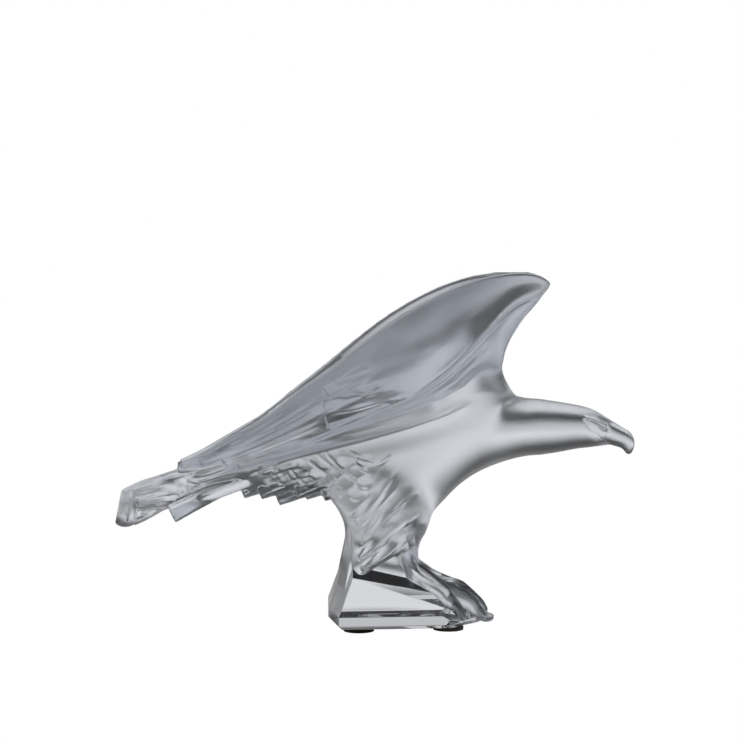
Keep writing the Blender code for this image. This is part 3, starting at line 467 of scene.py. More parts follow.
def wing_section(x, ridge_z, ridge_y, crown_z, crown_y, foot_z, foot_y, inner_z, inner_y):
    """The wing's outline at one x, as y and z, from the crown down the outer face and up the inner one."""
    height = crown_z - ridge_z
    hollow = FACE_HOLLOW * height * clamp((100 - x) / 30, 0, 1)
    band = min(BAND * clamp((x + 45) / 90, 0.4, 1), (ridge_z - foot_z) * 0.4)
    dimple_x, dimple_z, reach_x, reach_z, dimple_depth = DIMPLE
    top_y = crown_y + CROWN_HALF_THICKNESS
    outline = [(crown_y, crown_z + 0.6), (top_y, crown_z - 1.2)]
    for share in FACE_SHARES:
        z = crown_z - height * share
        dip = hollow * math.sin(math.pi * share)
        dip += dimple_depth * math.exp(-(((x - dimple_x) / reach_x) ** 2) - ((z - dimple_z) / reach_z) ** 2)
        outline.append((top_y + (ridge_y - top_y) * share - dip, z))
    under_z = ridge_z - band * 1.35
    return outline + [
        (ridge_y, ridge_z),
        (ridge_y + 0.3, ridge_z - band * 0.5),
        (ridge_y - 0.2, ridge_z - band),
        (ridge_y - band * 0.7, under_z),
        (ridge_y + (foot_y - ridge_y) * 0.45, under_z + (foot_z - under_z) * 0.30),
        (ridge_y + (foot_y - ridge_y) * 0.72, under_z + (foot_z - under_z) * 0.65),
        (foot_y, foot_z),
        ((foot_y + inner_y) / 2, (foot_z + inner_z) / 2),
        (inner_y, inner_z),
        (inner_y + (crown_y - inner_y) * 0.35, inner_z + (crown_z - inner_z) * 0.35),
        (inner_y + (crown_y - inner_y) * 0.70, inner_z + (crown_z - inner_z) * 0.70),
        (crown_y - CROWN_HALF_THICKNESS, crown_z - 1.8),
    ]


def wing(side):
    """One wing, with its arm and the flank that joins it to the body. side is -1 for the bird's right."""
    return loft([[grid(row[0], side * y, z) for y, z in wing_section(*row)] for row in spline(WING)])


def wing_rails(x):
    """The ridge's z and y and the crown's z and y at this x."""
    x = clamp(x, WING[-1][0], WING[0][0])
    for front, back in zip(WING, WING[1:]):
        if back[0] <= x <= front[0]:
            t = (front[0] - x) / (front[0] - back[0])
            return [a + (b - a) * t for a, b in zip(front[1:5], back[1:5])]


def surface_at(tree, side, x, z):
    """The place on the bird's outer face that shows from its side at this x and z, and the way it faces."""
    place, normal, _, _ = tree.ray_cast(grid(x, side * 80, z), Vector((0, -side, 0)))
    return place, normal


def feather(tree, side, path, widths, thickness, proud, tilt=0.0, blunt=True):
    """A feather laid on the outer face. Its root starts under the surface, and its tip stands proud of it."""
    places, facings = [], []
    for x, z in path:
        place, normal = surface_at(tree, side, x, z)
        if place is None:
            continue
        places.append(place)
        facings.append(normal)
    count = len(places)
    outs, centres, sizes = [], [], []
    for i in range(count):
        near = facings[max(0, i - 2): i + 3]
        facing = sum(near, Vector()).normalized()
        share = i / (count - 1)
        rise = (proud * share**0.7 - ROOT_DEPTH * (1 - share) ** 3) * UNIT
        narrow = 0.55 + 0.45 * min(1, share * 3)
        if not blunt:
            narrow *= math.sqrt(max(0.04, 1 - clamp((share - 0.7) / 0.3, 0, 1) ** 2))
        along = (places[min(i + 1, count - 1)] - places[max(i - 1, 0)]).normalized()
        across = along.cross(facing).normalized()
        if across.z < 0:
            across = -across
        centres.append(places[i] + facing * (rise - thickness / 2 * UNIT))
        outs.append((facing + across * tilt).normalized())
        sizes.append(widths[min(i, len(widths) - 1)] * narrow * UNIT)
    return blade(centres, outs, sizes, [thickness * UNIT] * count, 4.0)


def wing_line(share, start, end, steps=10):
    """A line on the wing's face at one share of its height."""
    line = []
    for i in range(steps + 1):
        x = start + (end - start) * i / steps
        ridge_z, _, crown_z, _ = wing_rails(x)
        line.append((x, ridge_z + (crown_z - ridge_z) * share))
    return line


def wing_feather(tree, side, start_x, end_x, share, part, thickness, proud, tilt):
    """A feather that follows the wing at one share of its height."""
    path = wing_line(share, start_x, end_x, WING_FEATHER_STEPS)
    rails = [wing_rails(x) for x, _ in path]
    widths = [(crown_z - ridge_z) * part for ridge_z, _, crown_z, _ in rails]
    return feather(tree, side, path, widths, thickness, proud, tilt)


def wing_feathers(tree, side):
    """The long primaries at the back of the wing, and the coverts that end over them."""
    for end_x, share in PRIMARIES:
        yield wing_feather(tree, side, PRIMARY_START, end_x, share, PRIMARY_PART,
                           PRIMARY_THICKNESS, PRIMARY_PROUD, PRIMARY_TILT)
    for start_x, end_x, share, part in COVERTS:
        yield wing_feather(tree, side, start_x, end_x, share, part, COVERT_THICKNESS, COVERT_PROUD, COVERT_TILT)


def body_feathers(tree, side):
    """The long fold under the wing, the locks on the thigh and the small scales on the flank."""
    fold = [tuple(point) for point in spline(LONG_FOLD, 2)]
    swell = [math.sin(math.pi * i / (len(fold) - 1)) for i in range(len(fold))]
    widths = [FOLD_END_WIDTH + FOLD_SWELL * part for part in swell]
    yield feather(tree, side, fold, widths, FOLD_THICKNESS, FOLD_PROUD)
    for lock in THIGH_LOCKS:
        path = [tuple(point) for point in spline(lock, 4)]
        yield feather(tree, side, path, [LOCK_WIDTH], LOCK_THICKNESS, LOCK_PROUD, LOCK_TILT, blunt=False)
    for row in range(SCALE_ROWS):
        for k in range(SCALES_IN_ROW):
            x = SCALE_START - SCALE_STEP * k - SCALE_SHIFT * (row % 2)
            upper = SCALE_TOP + SCALE_TOP_SLOPE * x
            lower = SCALE_BOTTOM + SCALE_BOTTOM_SLOPE * x
            z = upper + (lower - upper) * (row + 0.3) / SCALE_ROWS
            slope = SCALE_FALL - SCALE_FALL_LESS * k
            path = [(x - t, z - t * slope) for t in SCALE_PATH]
            yield feather(tree, side, path, [SCALE_WIDTH], SCALE_THICKNESS, SCALE_PROUD, SCALE_TILT, blunt=False)


def tufts(side):
    """The short feathers that hang under the root of the tail."""
    widths = [width * UNIT for width in TUFT_WIDTHS]
    for tip_x, tip_y, tip_z in TUFTS:
        path = [grid(tip_x + TUFT_LENGTH * t, side * tip_y, tip_z + TUFT_RISE * t) for t in (1, 0.65, 0.3, 0)]
        yield blade(path, Vector((0, side * 0.5, -1)), widths, [TUFT_THICKNESS * UNIT] * len(path))


def face(side):
    """The brow and the eye."""
    brow = [grid(x, side * y, z) for x, y, z in BROW]
    widths = [width * UNIT for width in BROW_WIDTHS]
    yield blade(brow, Vector((0, side, 0.5)), widths, [BROW_THICKNESS * UNIT] * len(brow), 2.5)
    eye = bmesh.new()
    bmesh.ops.create_uvsphere(eye, u_segments=16, v_segments=10, radius=EYE_RADIUS * UNIT)
    x, y, z = EYE
    bmesh.ops.translate(eye, verts=eye.verts, vec=grid(x, side * y, z))
    yield eye


def tail_feathers(tree, side):
    """The strips on one side of the tail, and the shorter feather beside it."""
    for strip, width in zip(TAIL_STRIPS, TAIL_STRIP_WIDTHS):
        path = [tuple(point) for point in spline(strip, 2)]
        yield feather(tree, side, path, [width], TAIL_STRIP_THICKNESS, TAIL_STRIP_PROUD)
    path = [grid(x, side * y, z) for x, y, z in TAIL_SIDE_FEATHER]
    widths = [width * UNIT for width in SIDE_FEATHER_WIDTHS]
    yield blade(path, Vector((0, side, -0.3)), widths, [SIDE_FEATHER_THICKNESS * UNIT] * len(path), 5.0)


def height_of(tree, x, y):
    """The height of the rock's surface under this place."""
    place, _, _, _ = tree.ray_cast(Vector((x, y, 1.0)), Vector((0, 0, -1)))
    return place.z if place else GROUND_TO_ROCK


def foot(side, rock_tree):
    """Toes laid on the rock, each ending in a claw that bends down its front."""
    for joints in TOES:
        rows = []
        for x, y, radius, rise in joints:
            place = Vector((x, side * y, 0)) * UNIT
            height = height_of(rock_tree, place.x, place.y) + radius * rise * UNIT
            rows.append((place.x, place.y, height, radius * UNIT))
        last, before = Vector(rows[-1]), Vector(rows[-2])
        ahead = (last - before).xy.normalized() * CLAW_REACH * UNIT
        fall = CLAW_FALL * UNIT
        floor = GROUND_TO_ROCK + CLAW_CLEARANCE * UNIT
        for reach, drop, radius in CLAW:
            height = max(last.z - fall * drop, floor)
            rows.append((last.x + ahead.x * reach, last.y + ahead.y * reach, height, radius * UNIT))
        centres = spline(rows)
        sizes = [2 * max(row[3], 1.2 * UNIT) for row in centres]
        yield blade([Vector(row[:3]) for row in centres], Vector((0, -side, 0.2)), sizes, sizes, 2.0)


def rock_planes():
    """The ground faces of the rock, each as three places on it."""
    ground = GROUND_TO_ROCK
    rear, rear_top, rear_corner = rear_lines()
    front = toe_reach() - ROCK_TOE_OVERHANG
    half = ROCK_WIDTH / 2
    crest = ground + ROCK_HEIGHT
    shoulder = ground + ROCK_SIDE_HEIGHT
    brow = ground + ROCK_FRONT_HEIGHT
    brow_x = front - 0.9 * ROCK_FRONT_HEIGHT
    front_corner = front - ROCK_SIDE_END
    rear_sill = ground + ROCK_REAR_BEVEL
    rear_foot = ground + ROCK_REAR_FOOT
    front_sill = ground + ROCK_FRONT_BEVEL
    side_sill = ground + ROCK_SIDE_BEVEL
    under_rear = rear + 1.2 * ROCK_REAR_BEVEL
    under_front = front - 1.6 * ROCK_FRONT_BEVEL
    planes = [
        ((0, 0, ground), (1, 0, ground), (0, 1, ground)),
        ((rear_top, 0, crest), (rear_top, 1, crest), (brow_x, 0, brow)),
        ((brow_x, 0, brow), (brow_x, 1, brow), (front, 0, ground)),
        ((front, 0, front_sill), (front, 1, front_sill), (under_front, 0, ground)),
    ]
    for side in (-1, 1):
        edge = side * half
        rear_shoulder = (rear_corner + 0.15 * ROCK_SIDE_HEIGHT, side * (half - ROCK_SIDE_LEAN), shoulder)
        knee = (front - 0.62 * ROCK_WIDTH, side * (half - 2 * ROCK_SIDE_LEAN), ground + 0.52 * ROCK_HEIGHT)
        wrist = (front_corner - 0.11 * ROCK_WIDTH, side * (half - 0.6 * ROCK_SIDE_LEAN),
                 ground + 0.85 * ROCK_FRONT_HEIGHT)
        front_edge = (front, side * ROCK_FRONT_FLAT / 2, front_sill)
        front_side = (front_corner, edge, front_sill)
        planes += [
            ((rear, 0, rear_foot), (rear_top, 0, crest), (rear_corner, edge, rear_foot)),
            ((rear, 0, rear_sill), (rear, 0, rear_foot), (rear_corner, edge, rear_foot)),
            ((rear, 0, rear_sill), (rear_corner, edge, rear_sill), (under_rear, 0, ground)),
            ((0, edge, side_sill), (1, edge, side_sill), rear_shoulder),
            ((0, edge, side_sill), (1, edge, side_sill), (0, edge - side * ROCK_SIDE_BEVEL, ground)),
            ((rear_top, side * 0.12 * ROCK_WIDTH, crest), rear_shoulder, knee),
            (rear_shoulder, knee, wrist),
            (front_edge, front_side, wrist),
            (front_edge, front_side, (under_front, side * 0.22 * ROCK_WIDTH, ground)),
        ]
    return planes


def rear_lines():
    """How far back the rock's rear prow is at its foot, at its crest, and at the sides."""
    rear = LEG_BACK_GRID_X * UNIT - ROCK_REAR_MARGIN
    return rear, rear + ROCK_REAR_LEAN, rear + 0.04 * ROCK_WIDTH


def toe_reach():
    """How far forward the claws come."""
    return max(joints[-1][0] for joints in TOES) * UNIT + CLAW_REACH * UNIT


def core_planes():
    """The faces of the taller part of the rock between the legs."""
    ground = GROUND_TO_ROCK
    rear, _, rear_corner = rear_lines()
    top = ground + ROCK_HEIGHT + CORE_RISE
    low = ground + 0.5 * ROCK_HEIGHT
    prow = rear + ROCK_REAR_LEAN * (low - ground - ROCK_REAR_FOOT) / (ROCK_HEIGHT - ROCK_REAR_FOOT)
    prow_corner = prow + rear_corner - rear
    foot_y = 0.36 * ROCK_WIDTH
    top_y = foot_y - CORE_LEAN
    front = SHANK_GRID_X * UNIT
    planes = [
        ((0, 0, top), (1, 0, top), (0, 1, top)),
        ((0, 0, low / 2), (1, 0, low / 2), (0, 1, low / 2)),
        ((front, 0, top), (front, 1, top), (front + 0.5 * CORE_LEAN, 0, low)),
    ]
    for side in (-1, 1):
        planes += [
            ((prow, 0, low), (prow + CORE_REAR_LEAN, 0, top), (prow_corner, side * ROCK_WIDTH / 2, low)),
            ((0, side * foot_y, low), (1, side * foot_y, low), (0, side * top_y, top)),
        ]
    return planes


def body_forms():
    """The bird's large forms, as one mesh of closed shapes that overlap."""
    forms = bmesh.new()
    add_to(forms, upright_loft(TRUNK))
    add_to(forms, upright_loft(BEAK))
    add_to(forms, upright_loft(TAIL, 3.0))
    for side in (-1, 1):
        add_to(forms, wing(side))
        for limb in (SHOULDER, THIGH, SHANK):
            add_to(forms, level_loft(limb, side))
    return forms


def softness(place):
    """How much the skin is eased here, from 0 to 1: fully on the body, not at all by the wings' edges."""
    x, y, z = place.x / UNIT, abs(place.y) / UNIT, (place.z - LIFT) / UNIT
    ridge_z, ridge_y, crown_z, crown_y = wing_rails(x)
    to_edge = min(math.hypot(y - ridge_y, z - ridge_z), math.hypot(y - crown_y, z - crown_z))
    share = clamp((to_edge - CRISP_REACH) / CRISP_REACH, 0, 1)
    for value, (low, high) in ((x, EASE_X), (z, EASE_Z)):
        share *= clamp((value - low) / EASE_FADE, 0, 1) * clamp((high - value) / EASE_FADE, 0, 1)
    return share


def relax(skin, soft, rounds):
    """Smooths these vertices of the skin this often."""
    for _ in range(rounds):
        bmesh.ops.smooth_vert(skin, verts=soft, factor=0.5, use_axis_x=True, use_axis_y=True, use_axis_z=True)


def depth_inside(place, spot):
    """How far inside a soft spot this place is, seen from the side."""
    x, z = place.x / UNIT, (place.z - LIFT) / UNIT
    low_x, high_x, low_z, high_z = spot
    return min(x - low_x, high_x - x, z - low_z, high_z - z)


def ease_joins(skin):
    """Smooths the places where the body, the flanks, the shoulders and the thighs meet."""
    shares = {vert: softness(vert.co) for vert in skin.verts}
    for least in EASE_SHARES:
        relax(skin, [vert for vert in skin.verts if shares[vert] > least], EASE_ROUNDS)
    for spot in SOFT_SPOTS:
        for margin in SOFT_MARGINS:
            soft = [v for v in skin.verts if depth_inside(v.co, spot) > margin and shares[v] > SOFT_LEAST]
            relax(skin, soft, SOFT_ROUNDS)


def details(tree, rock_tree):
    """The feet, the face and the feathers, laid on the eased body."""
    for side in (-1, 1):
        yield from foot(side, rock_tree)
        yield from tufts(side)
        yield from face(side)
        yield from wing_feathers(tree, side)
        yield from body_feathers(tree, side)
        yield from tail_feathers(tree, side)


def stroke_distance(x, z, points):
    """For each place, how far it is from a line of points, and how far along the line, from 0 to 1."""
    best = np.full(x.shape, 1e9)
    along = np.zeros(x.shape)
    count = len(points) - 1
    for i, ((ax, az), (bx, bz)) in enumerate(zip(points, points[1:])):
        dx, dz = bx - ax, bz - az
        t = np.clip(((x - ax) * dx + (z - az) * dz) / (dx * dx + dz * dz), 0, 1)
        far = np.hypot(x - ax - dx * t, z - az - dz * t)
        nearer = far < best
        best = np.where(nearer, far, best)
        along = np.where(nearer, (i + t) / count, along)
    return best, along


def strokes():
    """The carved lines, seen from the side: points of x, z, then width and depth. A ridge's depth is below 0."""
    for (_, first), (_, second), (end, _) in zip(PRIMARIES, PRIMARIES[1:], PRIMARIES):
        yield wing_line((first + second) / 2, PRIMARY_GAP_START, end), *PRIMARY_GAP
    for start, end, share, part in COVERTS:
        yield wing_line(share, start - 4, end + 3), *COVERT_HOLLOW
        yield wing_line(share - part / 2, start, end + 2), *COVERT_EDGE
    yield from RELIEF
    for upper, lower in zip(THIGH_LOCKS, THIGH_LOCKS[1:]):
        line = [((a[0] + b[0]) / 2, (a[1] + b[1]) / 2) for a, b in zip(upper, lower)]
        yield [tuple(point) for point in spline(line, 3)], *HAIR_LINE


def carve(obj):
    """Presses the strokes and the flat recesses into the skin on both sides of the bird."""
    mesh = obj.data
    count = len(mesh.vertices)
    places = np.empty(count * 3, dtype=np.float32)
    mesh.vertices.foreach_get("co", places)
    places = places.reshape(-1, 3)
    facings = np.array([tuple(vert.normal) for vert in mesh.vertices], dtype=np.float32)
    x, y, z = places[:, 0] / UNIT, np.abs(places[:, 1]) / UNIT, (places[:, 2] - LIFT) / UNIT
    outward = np.clip(facings[:, 1] * np.sign(places[:, 1]) * 2.0, 0, 1) * (y > 3)
    depth = np.zeros(count)
    for points, width, deep in strokes():
        xs, zs = [p[0] for p in points], [p[1] for p in points]
        reach = STROKE_REACH * width
        near = (x > min(xs) - reach) & (x < max(xs) + reach) & (z > min(zs) - reach) & (z < max(zs) + reach)
        far, along = stroke_distance(x[near], z[near], points)
        ends = np.clip(along * 6, 0, 1) * np.clip((1 - along) * 6 + 0.25, 0, 1)
        depth[near] += deep * np.exp(-((far / width) ** 2)) * ends
    for points, half_width, deep in RECESSES:
        far, _ = stroke_distance(x, z, points)
        depth += deep * np.clip((half_width + RECESS_EDGE - far) / (2 * RECESS_EDGE), 0, 1)
    places -= facings * (depth * outward * CARVE_SHARE * UNIT)[:, None]
    mesh.vertices.foreach_set("co", places.ravel())
    mesh.update()


def select_only(obj):
    bpy.ops.object.select_all(action="DESELECT")
    bpy.context.view_layer.objects.active = obj
    obj.select_set(True)


def finish_with(obj, kind, **settings):
    """Adds a modifier with these settings and applies it."""
    select_only(obj)
    step = obj.modifiers.new(kind.lower(), kind)
    for name, value in settings.items():
        setattr(step, name, value)
    bpy.ops.object.modifier_apply(modifier=step.name)


def added(name, make, **settings):
    """The object that this operator makes, under a name of its own."""
    bpy.ops.object.select_all(action="DESELECT")
    make(**settings)
    obj = bpy.context.active_object
    obj.name = name
    return obj


def cut_block(name, planes, finish):
    """A cube cut down by each plane in turn, with its edges eased, as the rock is."""
    obj = added(name, bpy.ops.mesh.primitive_cube_add, size=1.0)
    inside = Vector((0, 0, GROUND_TO_ROCK + 0.4 * ROCK_HEIGHT))
    bpy.ops.object.mode_set(mode="EDIT")
    for corners in planes:
        a, b, c = (Vector(corner) for corner in corners)
        normal = (b - a).cross(c - a).normalized()
        if normal.dot(inside - a) > 0:
            normal.negate()
        bpy.ops.mesh.select_all(action="SELECT")
        bpy.ops.mesh.bisect(plane_co=a, plane_no=normal, use_fill=True, clear_outer=True)
    bpy.ops.mesh.select_all(action="SELECT")
    bpy.ops.mesh.normals_make_consistent(inside=False)
    bpy.ops.object.mode_set(mode="OBJECT")
    finish_with(obj, "BEVEL", width=ROCK_EDGE, segments=2, limit_method="ANGLE", angle_limit=math.radians(8))
    obj.data.materials.append(finish)
    return obj


def new_object(name, bm, finish):
    mesh = bpy.data.meshes.new(name)
    bm.to_mesh(mesh)
    bm.free()
    mesh.materials.append(finish)
    obj = bpy.data.objects.new(name, mesh)
    bpy.context.scene.collection.objects.link(obj)
    return obj


def tree_of(obj):
    return BVHTree.FromPolygons([v.co for v in obj.data.vertices], [list(p.vertices) for p in obj.data.polygons])


def socket(group, name, kind, inward, value=None):
    made = group.interface.new_socket(name=name, in_out="INPUT" if inward else "OUTPUT", socket_type=kind)
    if value is not None:
        made.default_value = value


def preset(node, values):
    """Sets these inputs of a shader node."""
    for name, value in values.items():
        node.inputs[name].default_value = value


def new_material(name):
    """A material, with its nodes, its links and its shader."""
    made = bpy.data.materials.new(name)
    made.use_nodes = True
    nodes = made.node_tree.nodes
    return made, nodes, made.node_tree.links, nodes["Principled BSDF"]


def frost_group():
    """The grain of etched crystal: a fine tooth over a slow cloud, as a roughness and a height."""
    group = bpy.data.node_groups.new("etched grain", "ShaderNodeTree")
    socket(group, "Roughness", "NodeSocketFloat", True, 0.4)
    socket(group, "Cloud", "NodeSocketFloat", True, 0.05)
    socket(group, "Tooth Size", "NodeSocketFloat", True, 1600.0)
    socket(group, "Roughness Out", "NodeSocketFloat", False)
    socket(group, "Height", "NodeSocketFloat", False)
    nodes, links = group.nodes, group.links
    taken = nodes.new("NodeGroupInput")
    given = nodes.new("NodeGroupOutput")
    place = nodes.new("ShaderNodeTexCoord")
    cloud = nodes.new("ShaderNodeTexNoise")
    preset(cloud, {"Scale": 28.0, "Detail": 3.0})
    tooth = nodes.new("ShaderNodeTexNoise")
    preset(tooth, {"Detail": 2.0})
    centre = nodes.new("ShaderNodeMath")
    centre.operation = "SUBTRACT"
    centre.inputs[1].default_value = 0.5
    spread = nodes.new("ShaderNodeMath")
    spread.operation = "MULTIPLY_ADD"
    links.new(place.outputs["Object"], cloud.inputs["Vector"])
    links.new(place.outputs["Object"], tooth.inputs["Vector"])
    links.new(taken.outputs["Tooth Size"], tooth.inputs["Scale"])
    links.new(cloud.outputs["Fac"], centre.inputs[0])
    links.new(centre.outputs[0], spread.inputs[0])
    links.new(taken.outputs["Cloud"], spread.inputs[1])
    links.new(taken.outputs["Roughness"], spread.inputs[2])
    links.new(spread.outputs[0], given.inputs["Roughness Out"])
    links.new(tooth.outputs["Fac"], given.inputs["Height"])
    return group


def crystal(name, grain, roughness, cloud, tooth, depth, tint):
    """Clear crystal with its surface etched or polished by this much."""
    made, nodes, links, shader = new_material(name)
    preset(shader, {"Base Color": (*tint, 1), "Metallic": 0.0, "Transmission Weight": 1.0, "IOR": CRYSTAL_IOR})
    etched = nodes.new("ShaderNodeGroup")
    etched.node_tree = grain
    preset(etched, {"Roughness": roughness, "Cloud": cloud, "Tooth Size": tooth})
    bump = nodes.new("ShaderNodeBump")
    preset(bump, {"Strength": depth, "Distance": TOOTH_HEIGHT})
    links.new(etched.outputs["Roughness Out"], shader.inputs["Roughness"])
    links.new(etched.outputs["Height"], bump.inputs["Height"])
    links.new(bump.outputs["Normal"], shader.inputs["Normal"])
    return made


def felt():
    """Pressed brown felt: matted fibres that also set its shade of brown."""
    made, nodes, links, shader = new_material("brown felt")
    preset(shader, {"Roughness": 0.95, "Sheen Weight": 0.35, "Sheen Roughness": 0.6})
    place = nodes.new("ShaderNodeTexCoord")
    fibres = nodes.new("ShaderNodeTexNoise")
    preset(fibres, {"Scale": 2400.0, "Detail": 4.0, "Distortion": 1.5})
    shades = nodes.new("ShaderNodeValToRGB")
    shades.color_ramp.elements[0].position = 0.3
    shades.color_ramp.elements[0].color = (0.035, 0.026, 0.016, 1)
    shades.color_ramp.elements[1].position = 0.75
    shades.color_ramp.elements[1].color = (0.12, 0.09, 0.058, 1)
    bump = nodes.new("ShaderNodeBump")
    preset(bump, {"Strength": 0.8, "Distance": 0.0003})
    links.new(place.outputs["Object"], fibres.inputs["Vector"])
    links.new(fibres.outputs["Fac"], shades.inputs["Fac"])
    links.new(shades.outputs["Color"], shader.inputs["Base Color"])
    links.new(fibres.outputs["Fac"], bump.inputs["Height"])
    links.new(bump.outputs["Normal"], shader.inputs["Normal"])
    return made


def make_eagle(satin, polished):
    """The bird's forms melted into one fine skin, carved, and joined to the rock's crisp facets."""
    rock = cut_block("rock block", rock_planes(), polished)
    core = cut_block("rock core", core_planes(), satin)
    eagle = new_object("crystal_eagle", body_forms(), satin)
    finish_with(eagle, "REMESH", mode="VOXEL", voxel_size=BODY_CELL)
    forms = bmesh.new()
    forms.from_mesh(eagle.data)
    ease_joins(forms)
    for piece in list(details(BVHTree.FromBMesh(forms), tree_of(rock))):
        add_to(forms, piece)
    forms.to_mesh(eagle.data)
    forms.free()
    finish_with(eagle, "REMESH", mode="VOXEL", voxel_size=FORM_CELL)
    finish_with(eagle, "SMOOTH", factor=0.5, iterations=SKIN_ROUNDS)
    carve(eagle)
    finish_with(eagle, "SMOOTH", factor=0.5, iterations=1)
    count = sum(len(p.vertices) - 2 for p in eagle.data.polygons)
    if count > SKIN_TRIANGLES:
        finish_with(eagle, "DECIMATE", ratio=SKIN_TRIANGLES / count)
    eagle.data.shade_smooth()
    for solid in (rock, core):
        finish_with(eagle, "BOOLEAN", operation="UNION", solver="EXACT", object=solid, material_mode="TRANSFER")
        bpy.data.objects.remove(solid)
    slots = [slot.material for slot in eagle.material_slots]
    for face in eagle.data.polygons:
        if slots[face.material_index] == polished and face.normal.x < REAR_FACING:
            face.material_index = slots.index(satin)
    return eagle


def make_pad(node, wool):
    """A felt disc with a soft, rounded rim, in the place of one CAD pad."""
    low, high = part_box(node)
    middle = (low + high) / 2
    pad = added("felt_" + node, bpy.ops.mesh.primitive_cylinder_add, vertices=PAD_SIDES,
                radius=(high.x - low.x) / 2, depth=high.z - low.z, location=middle)
    for face in pad.data.polygons:
        face.select = abs(face.normal.z) > 0.9
    bpy.ops.object.mode_set(mode="EDIT")
    for inset in PAD_INSETS:
        bpy.ops.mesh.inset(thickness=inset, depth=0)
    bpy.ops.object.mode_set(mode="OBJECT")
    finish_with(pad, "BEVEL", width=PAD_RIM, segments=3, limit_method="ANGLE", angle_limit=math.radians(40))
    pad.data.materials.append(wool)
    select_only(pad)
    bpy.ops.object.shade_smooth_by_angle(angle=math.radians(50))
    bpy.ops.object.transform_apply(location=True, rotation=True, scale=True)
    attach(pad, "root")
    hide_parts(node)


def ramp(nodes, links, source, low, high, low_value, high_value):
    """The source's value, taken from this range smoothly to that one."""
    made = nodes.new("ShaderNodeMapRange")
    made.interpolation_type = "SMOOTHSTEP"
    preset(made, {"From Min": low, "From Max": high, "To Min": low_value, "To Max": high_value})
    links.new(source, made.inputs["Value"])
    return made.outputs["Result"]


def product(nodes, links, first, second):
    made = nodes.new("ShaderNodeMath")
    made.operation = "MULTIPLY"
    links.new(first, made.inputs[0])
    links.new(second, made.inputs[1])
    return made.outputs[0]


def studio_sky():
    """Soft light from a white sweep behind the object, under a dark ceiling. The camera sees plain white."""
    world = bpy.data.worlds.new("studio")
    bpy.context.scene.world = world
    world.use_nodes = True
    nodes, links = world.node_tree.nodes, world.node_tree.links
    seen = nodes["Background"]
    seen.inputs["Color"].default_value = (1, 1, 1, 1)
    lit = nodes.new("ShaderNodeBackground")
    place = nodes.new("ShaderNodeTexCoord")
    split = nodes.new("ShaderNodeSeparateXYZ")
    links.new(place.outputs["Generated"], split.inputs[0])
    up = ramp(nodes, links, split.outputs["Z"], *CEILING_FADE, WALL_LIGHT, CEILING_LIGHT)
    back = ramp(nodes, links, split.outputs["Y"], *FRONT_FADE, FRONT_SHARE, 1.0)
    ahead = ramp(nodes, links, split.outputs["X"], *AHEAD_FADE, 1.0, AHEAD_SHARE)
    light = product(nodes, links, product(nodes, links, up, back), ahead)
    links.new(light, lit.inputs["Strength"])
    path = nodes.new("ShaderNodeLightPath")
    mix = nodes.new("ShaderNodeMixShader")
    links.new(path.outputs["Is Camera Ray"], mix.inputs[0])
    links.new(lit.outputs[0], mix.inputs[1])
    links.new(seen.outputs[0], mix.inputs[2])
    links.new(mix.outputs[0], nodes["World Output"].inputs["Surface"])


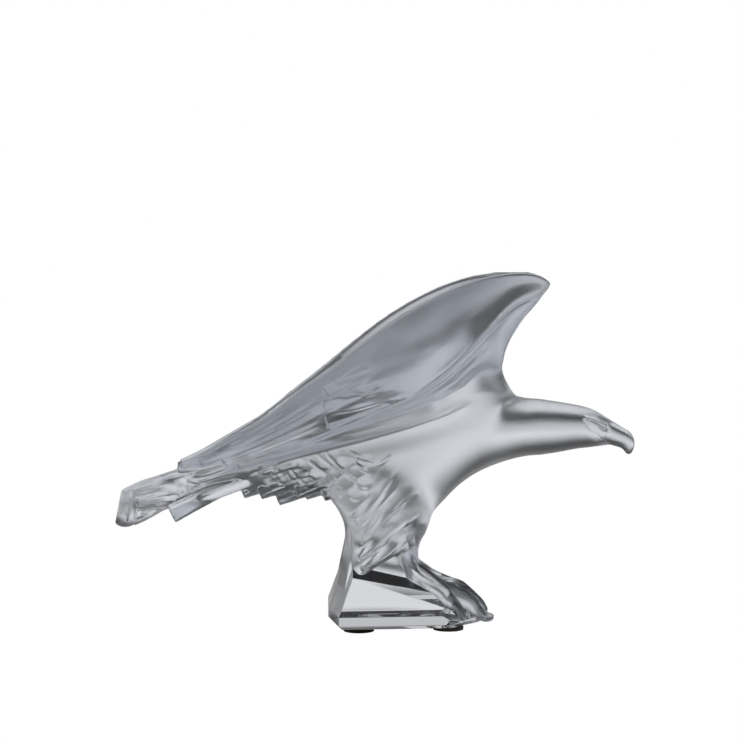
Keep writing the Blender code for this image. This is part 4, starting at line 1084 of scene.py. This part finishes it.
def studio_floor():
    """A pale floor lit from below like a light table."""
    floor = added("studio_floor", bpy.ops.mesh.primitive_plane_add, size=30)
    pale, nodes, links, shader = new_material("pale floor")
    grey = (FLOOR_PALE, FLOOR_PALE, FLOOR_PALE, 1)
    preset(shader, {"Base Color": grey, "Roughness": 0.8, "Emission Color": (1, 1, 1, 1)})
    place = nodes.new("ShaderNodeTexCoord")
    far = nodes.new("ShaderNodeVectorMath")
    far.operation = "LENGTH"
    links.new(place.outputs["Object"], far.inputs[0])
    glow = nodes.new("ShaderNodeValToRGB")
    stops = glow.color_ramp.elements
    stops.remove(stops[-1])
    for distance, light in FLOOR_GLOW:
        stop = stops.new(distance) if distance > 0 else stops[0]
        stop.color = (light, light, light, 1)
    links.new(far.outputs["Value"], glow.inputs["Fac"])
    path = nodes.new("ShaderNodeLightPath")
    seen = nodes.new("ShaderNodeMix")
    seen.inputs[3].default_value = 1.0
    links.new(path.outputs["Is Camera Ray"], seen.inputs[0])
    links.new(glow.outputs["Color"], seen.inputs[2])
    links.new(seen.outputs[0], shader.inputs["Emission Strength"])
    floor.data.materials.append(pale)
    floor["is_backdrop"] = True


def camera():
    """The photograph's view."""
    azimuth, elevation = math.radians(CAMERA_AZIMUTH), math.radians(CAMERA_ELEVATION)
    back = Vector((math.sin(azimuth) * math.cos(elevation), -math.cos(azimuth) * math.cos(elevation),
                   math.sin(elevation)))
    data = bpy.data.cameras.new("view")
    data.lens = CAMERA_LENS
    data.sensor_width = CAMERA_SENSOR
    obj = bpy.data.objects.new("view", data)
    obj.location = Vector(CAMERA_TARGET) + back * CAMERA_DISTANCE
    obj.rotation_euler = (-back).to_track_quat("-Z", "Y").to_euler()
    bpy.context.scene.collection.objects.link(obj)
    bpy.context.scene.camera = obj


CAMERA_TARGET = (-0.0048, 0, 0.1677)
CAMERA_AZIMUTH = -6
CAMERA_ELEVATION = 2.7
CAMERA_DISTANCE = 1.36
CAMERA_LENS = 100
CAMERA_SENSOR = 36
CRYSTAL_IOR = 1.52
TOOTH_HEIGHT = 0.0002
# The two finishes: roughness, how much a slow cloud shifts it, the fineness of the tooth, its depth, and the tint.
SATIN = (0.29, 0.06, 1600.0, 0.2, (0.905, 0.935, 0.99))
POLISHED = (0.02, 0.02, 60.0, 0.05, (0.935, 0.955, 0.99))
REAR_FACING = -0.8  # polished faces that look further back than this are etched too
WALL_LIGHT = 1.15  # the light at the horizon behind the object
CEILING_LIGHT = 0.03  # the light overhead
CEILING_FADE = (0.0, 0.42)  # from this height of the sky to that one, the first gives way to the second
FRONT_SHARE = 0.15  # how much of the light comes from the camera's side
FRONT_FADE = (-0.3, 0.7)
AHEAD_SHARE = 0.4  # and from the beak's side
AHEAD_FADE = (-0.2, 0.9)
FLOOR_PALE = 0.1
# How brightly the floor is lit from below, by distance from its middle in metres.
FLOOR_GLOW = ((0.0, 0.0), (0.05, 0.0), (0.08, 0.75), (0.28, 0.75), (0.34, 0.0), (0.52, 0.0), (0.9, 0.58))

camera()
studio_sky()
studio_floor()
grain = frost_group()
satin = crystal("satin crystal", grain, *SATIN)
polished = crystal("polished crystal", grain, *POLISHED)
eagle = make_eagle(satin, polished)
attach(eagle, "root")
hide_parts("eagle")
wool = felt()
for node in ("pad_rear_right", "pad_front_right", "pad_rear_left", "pad_front_left"):
    make_pad(node, wool)
bpy.context.scene.view_settings.view_transform = "Standard"
boxes = [[[float(value) for value in corner] for corner in box] for box in (cad_box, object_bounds())]
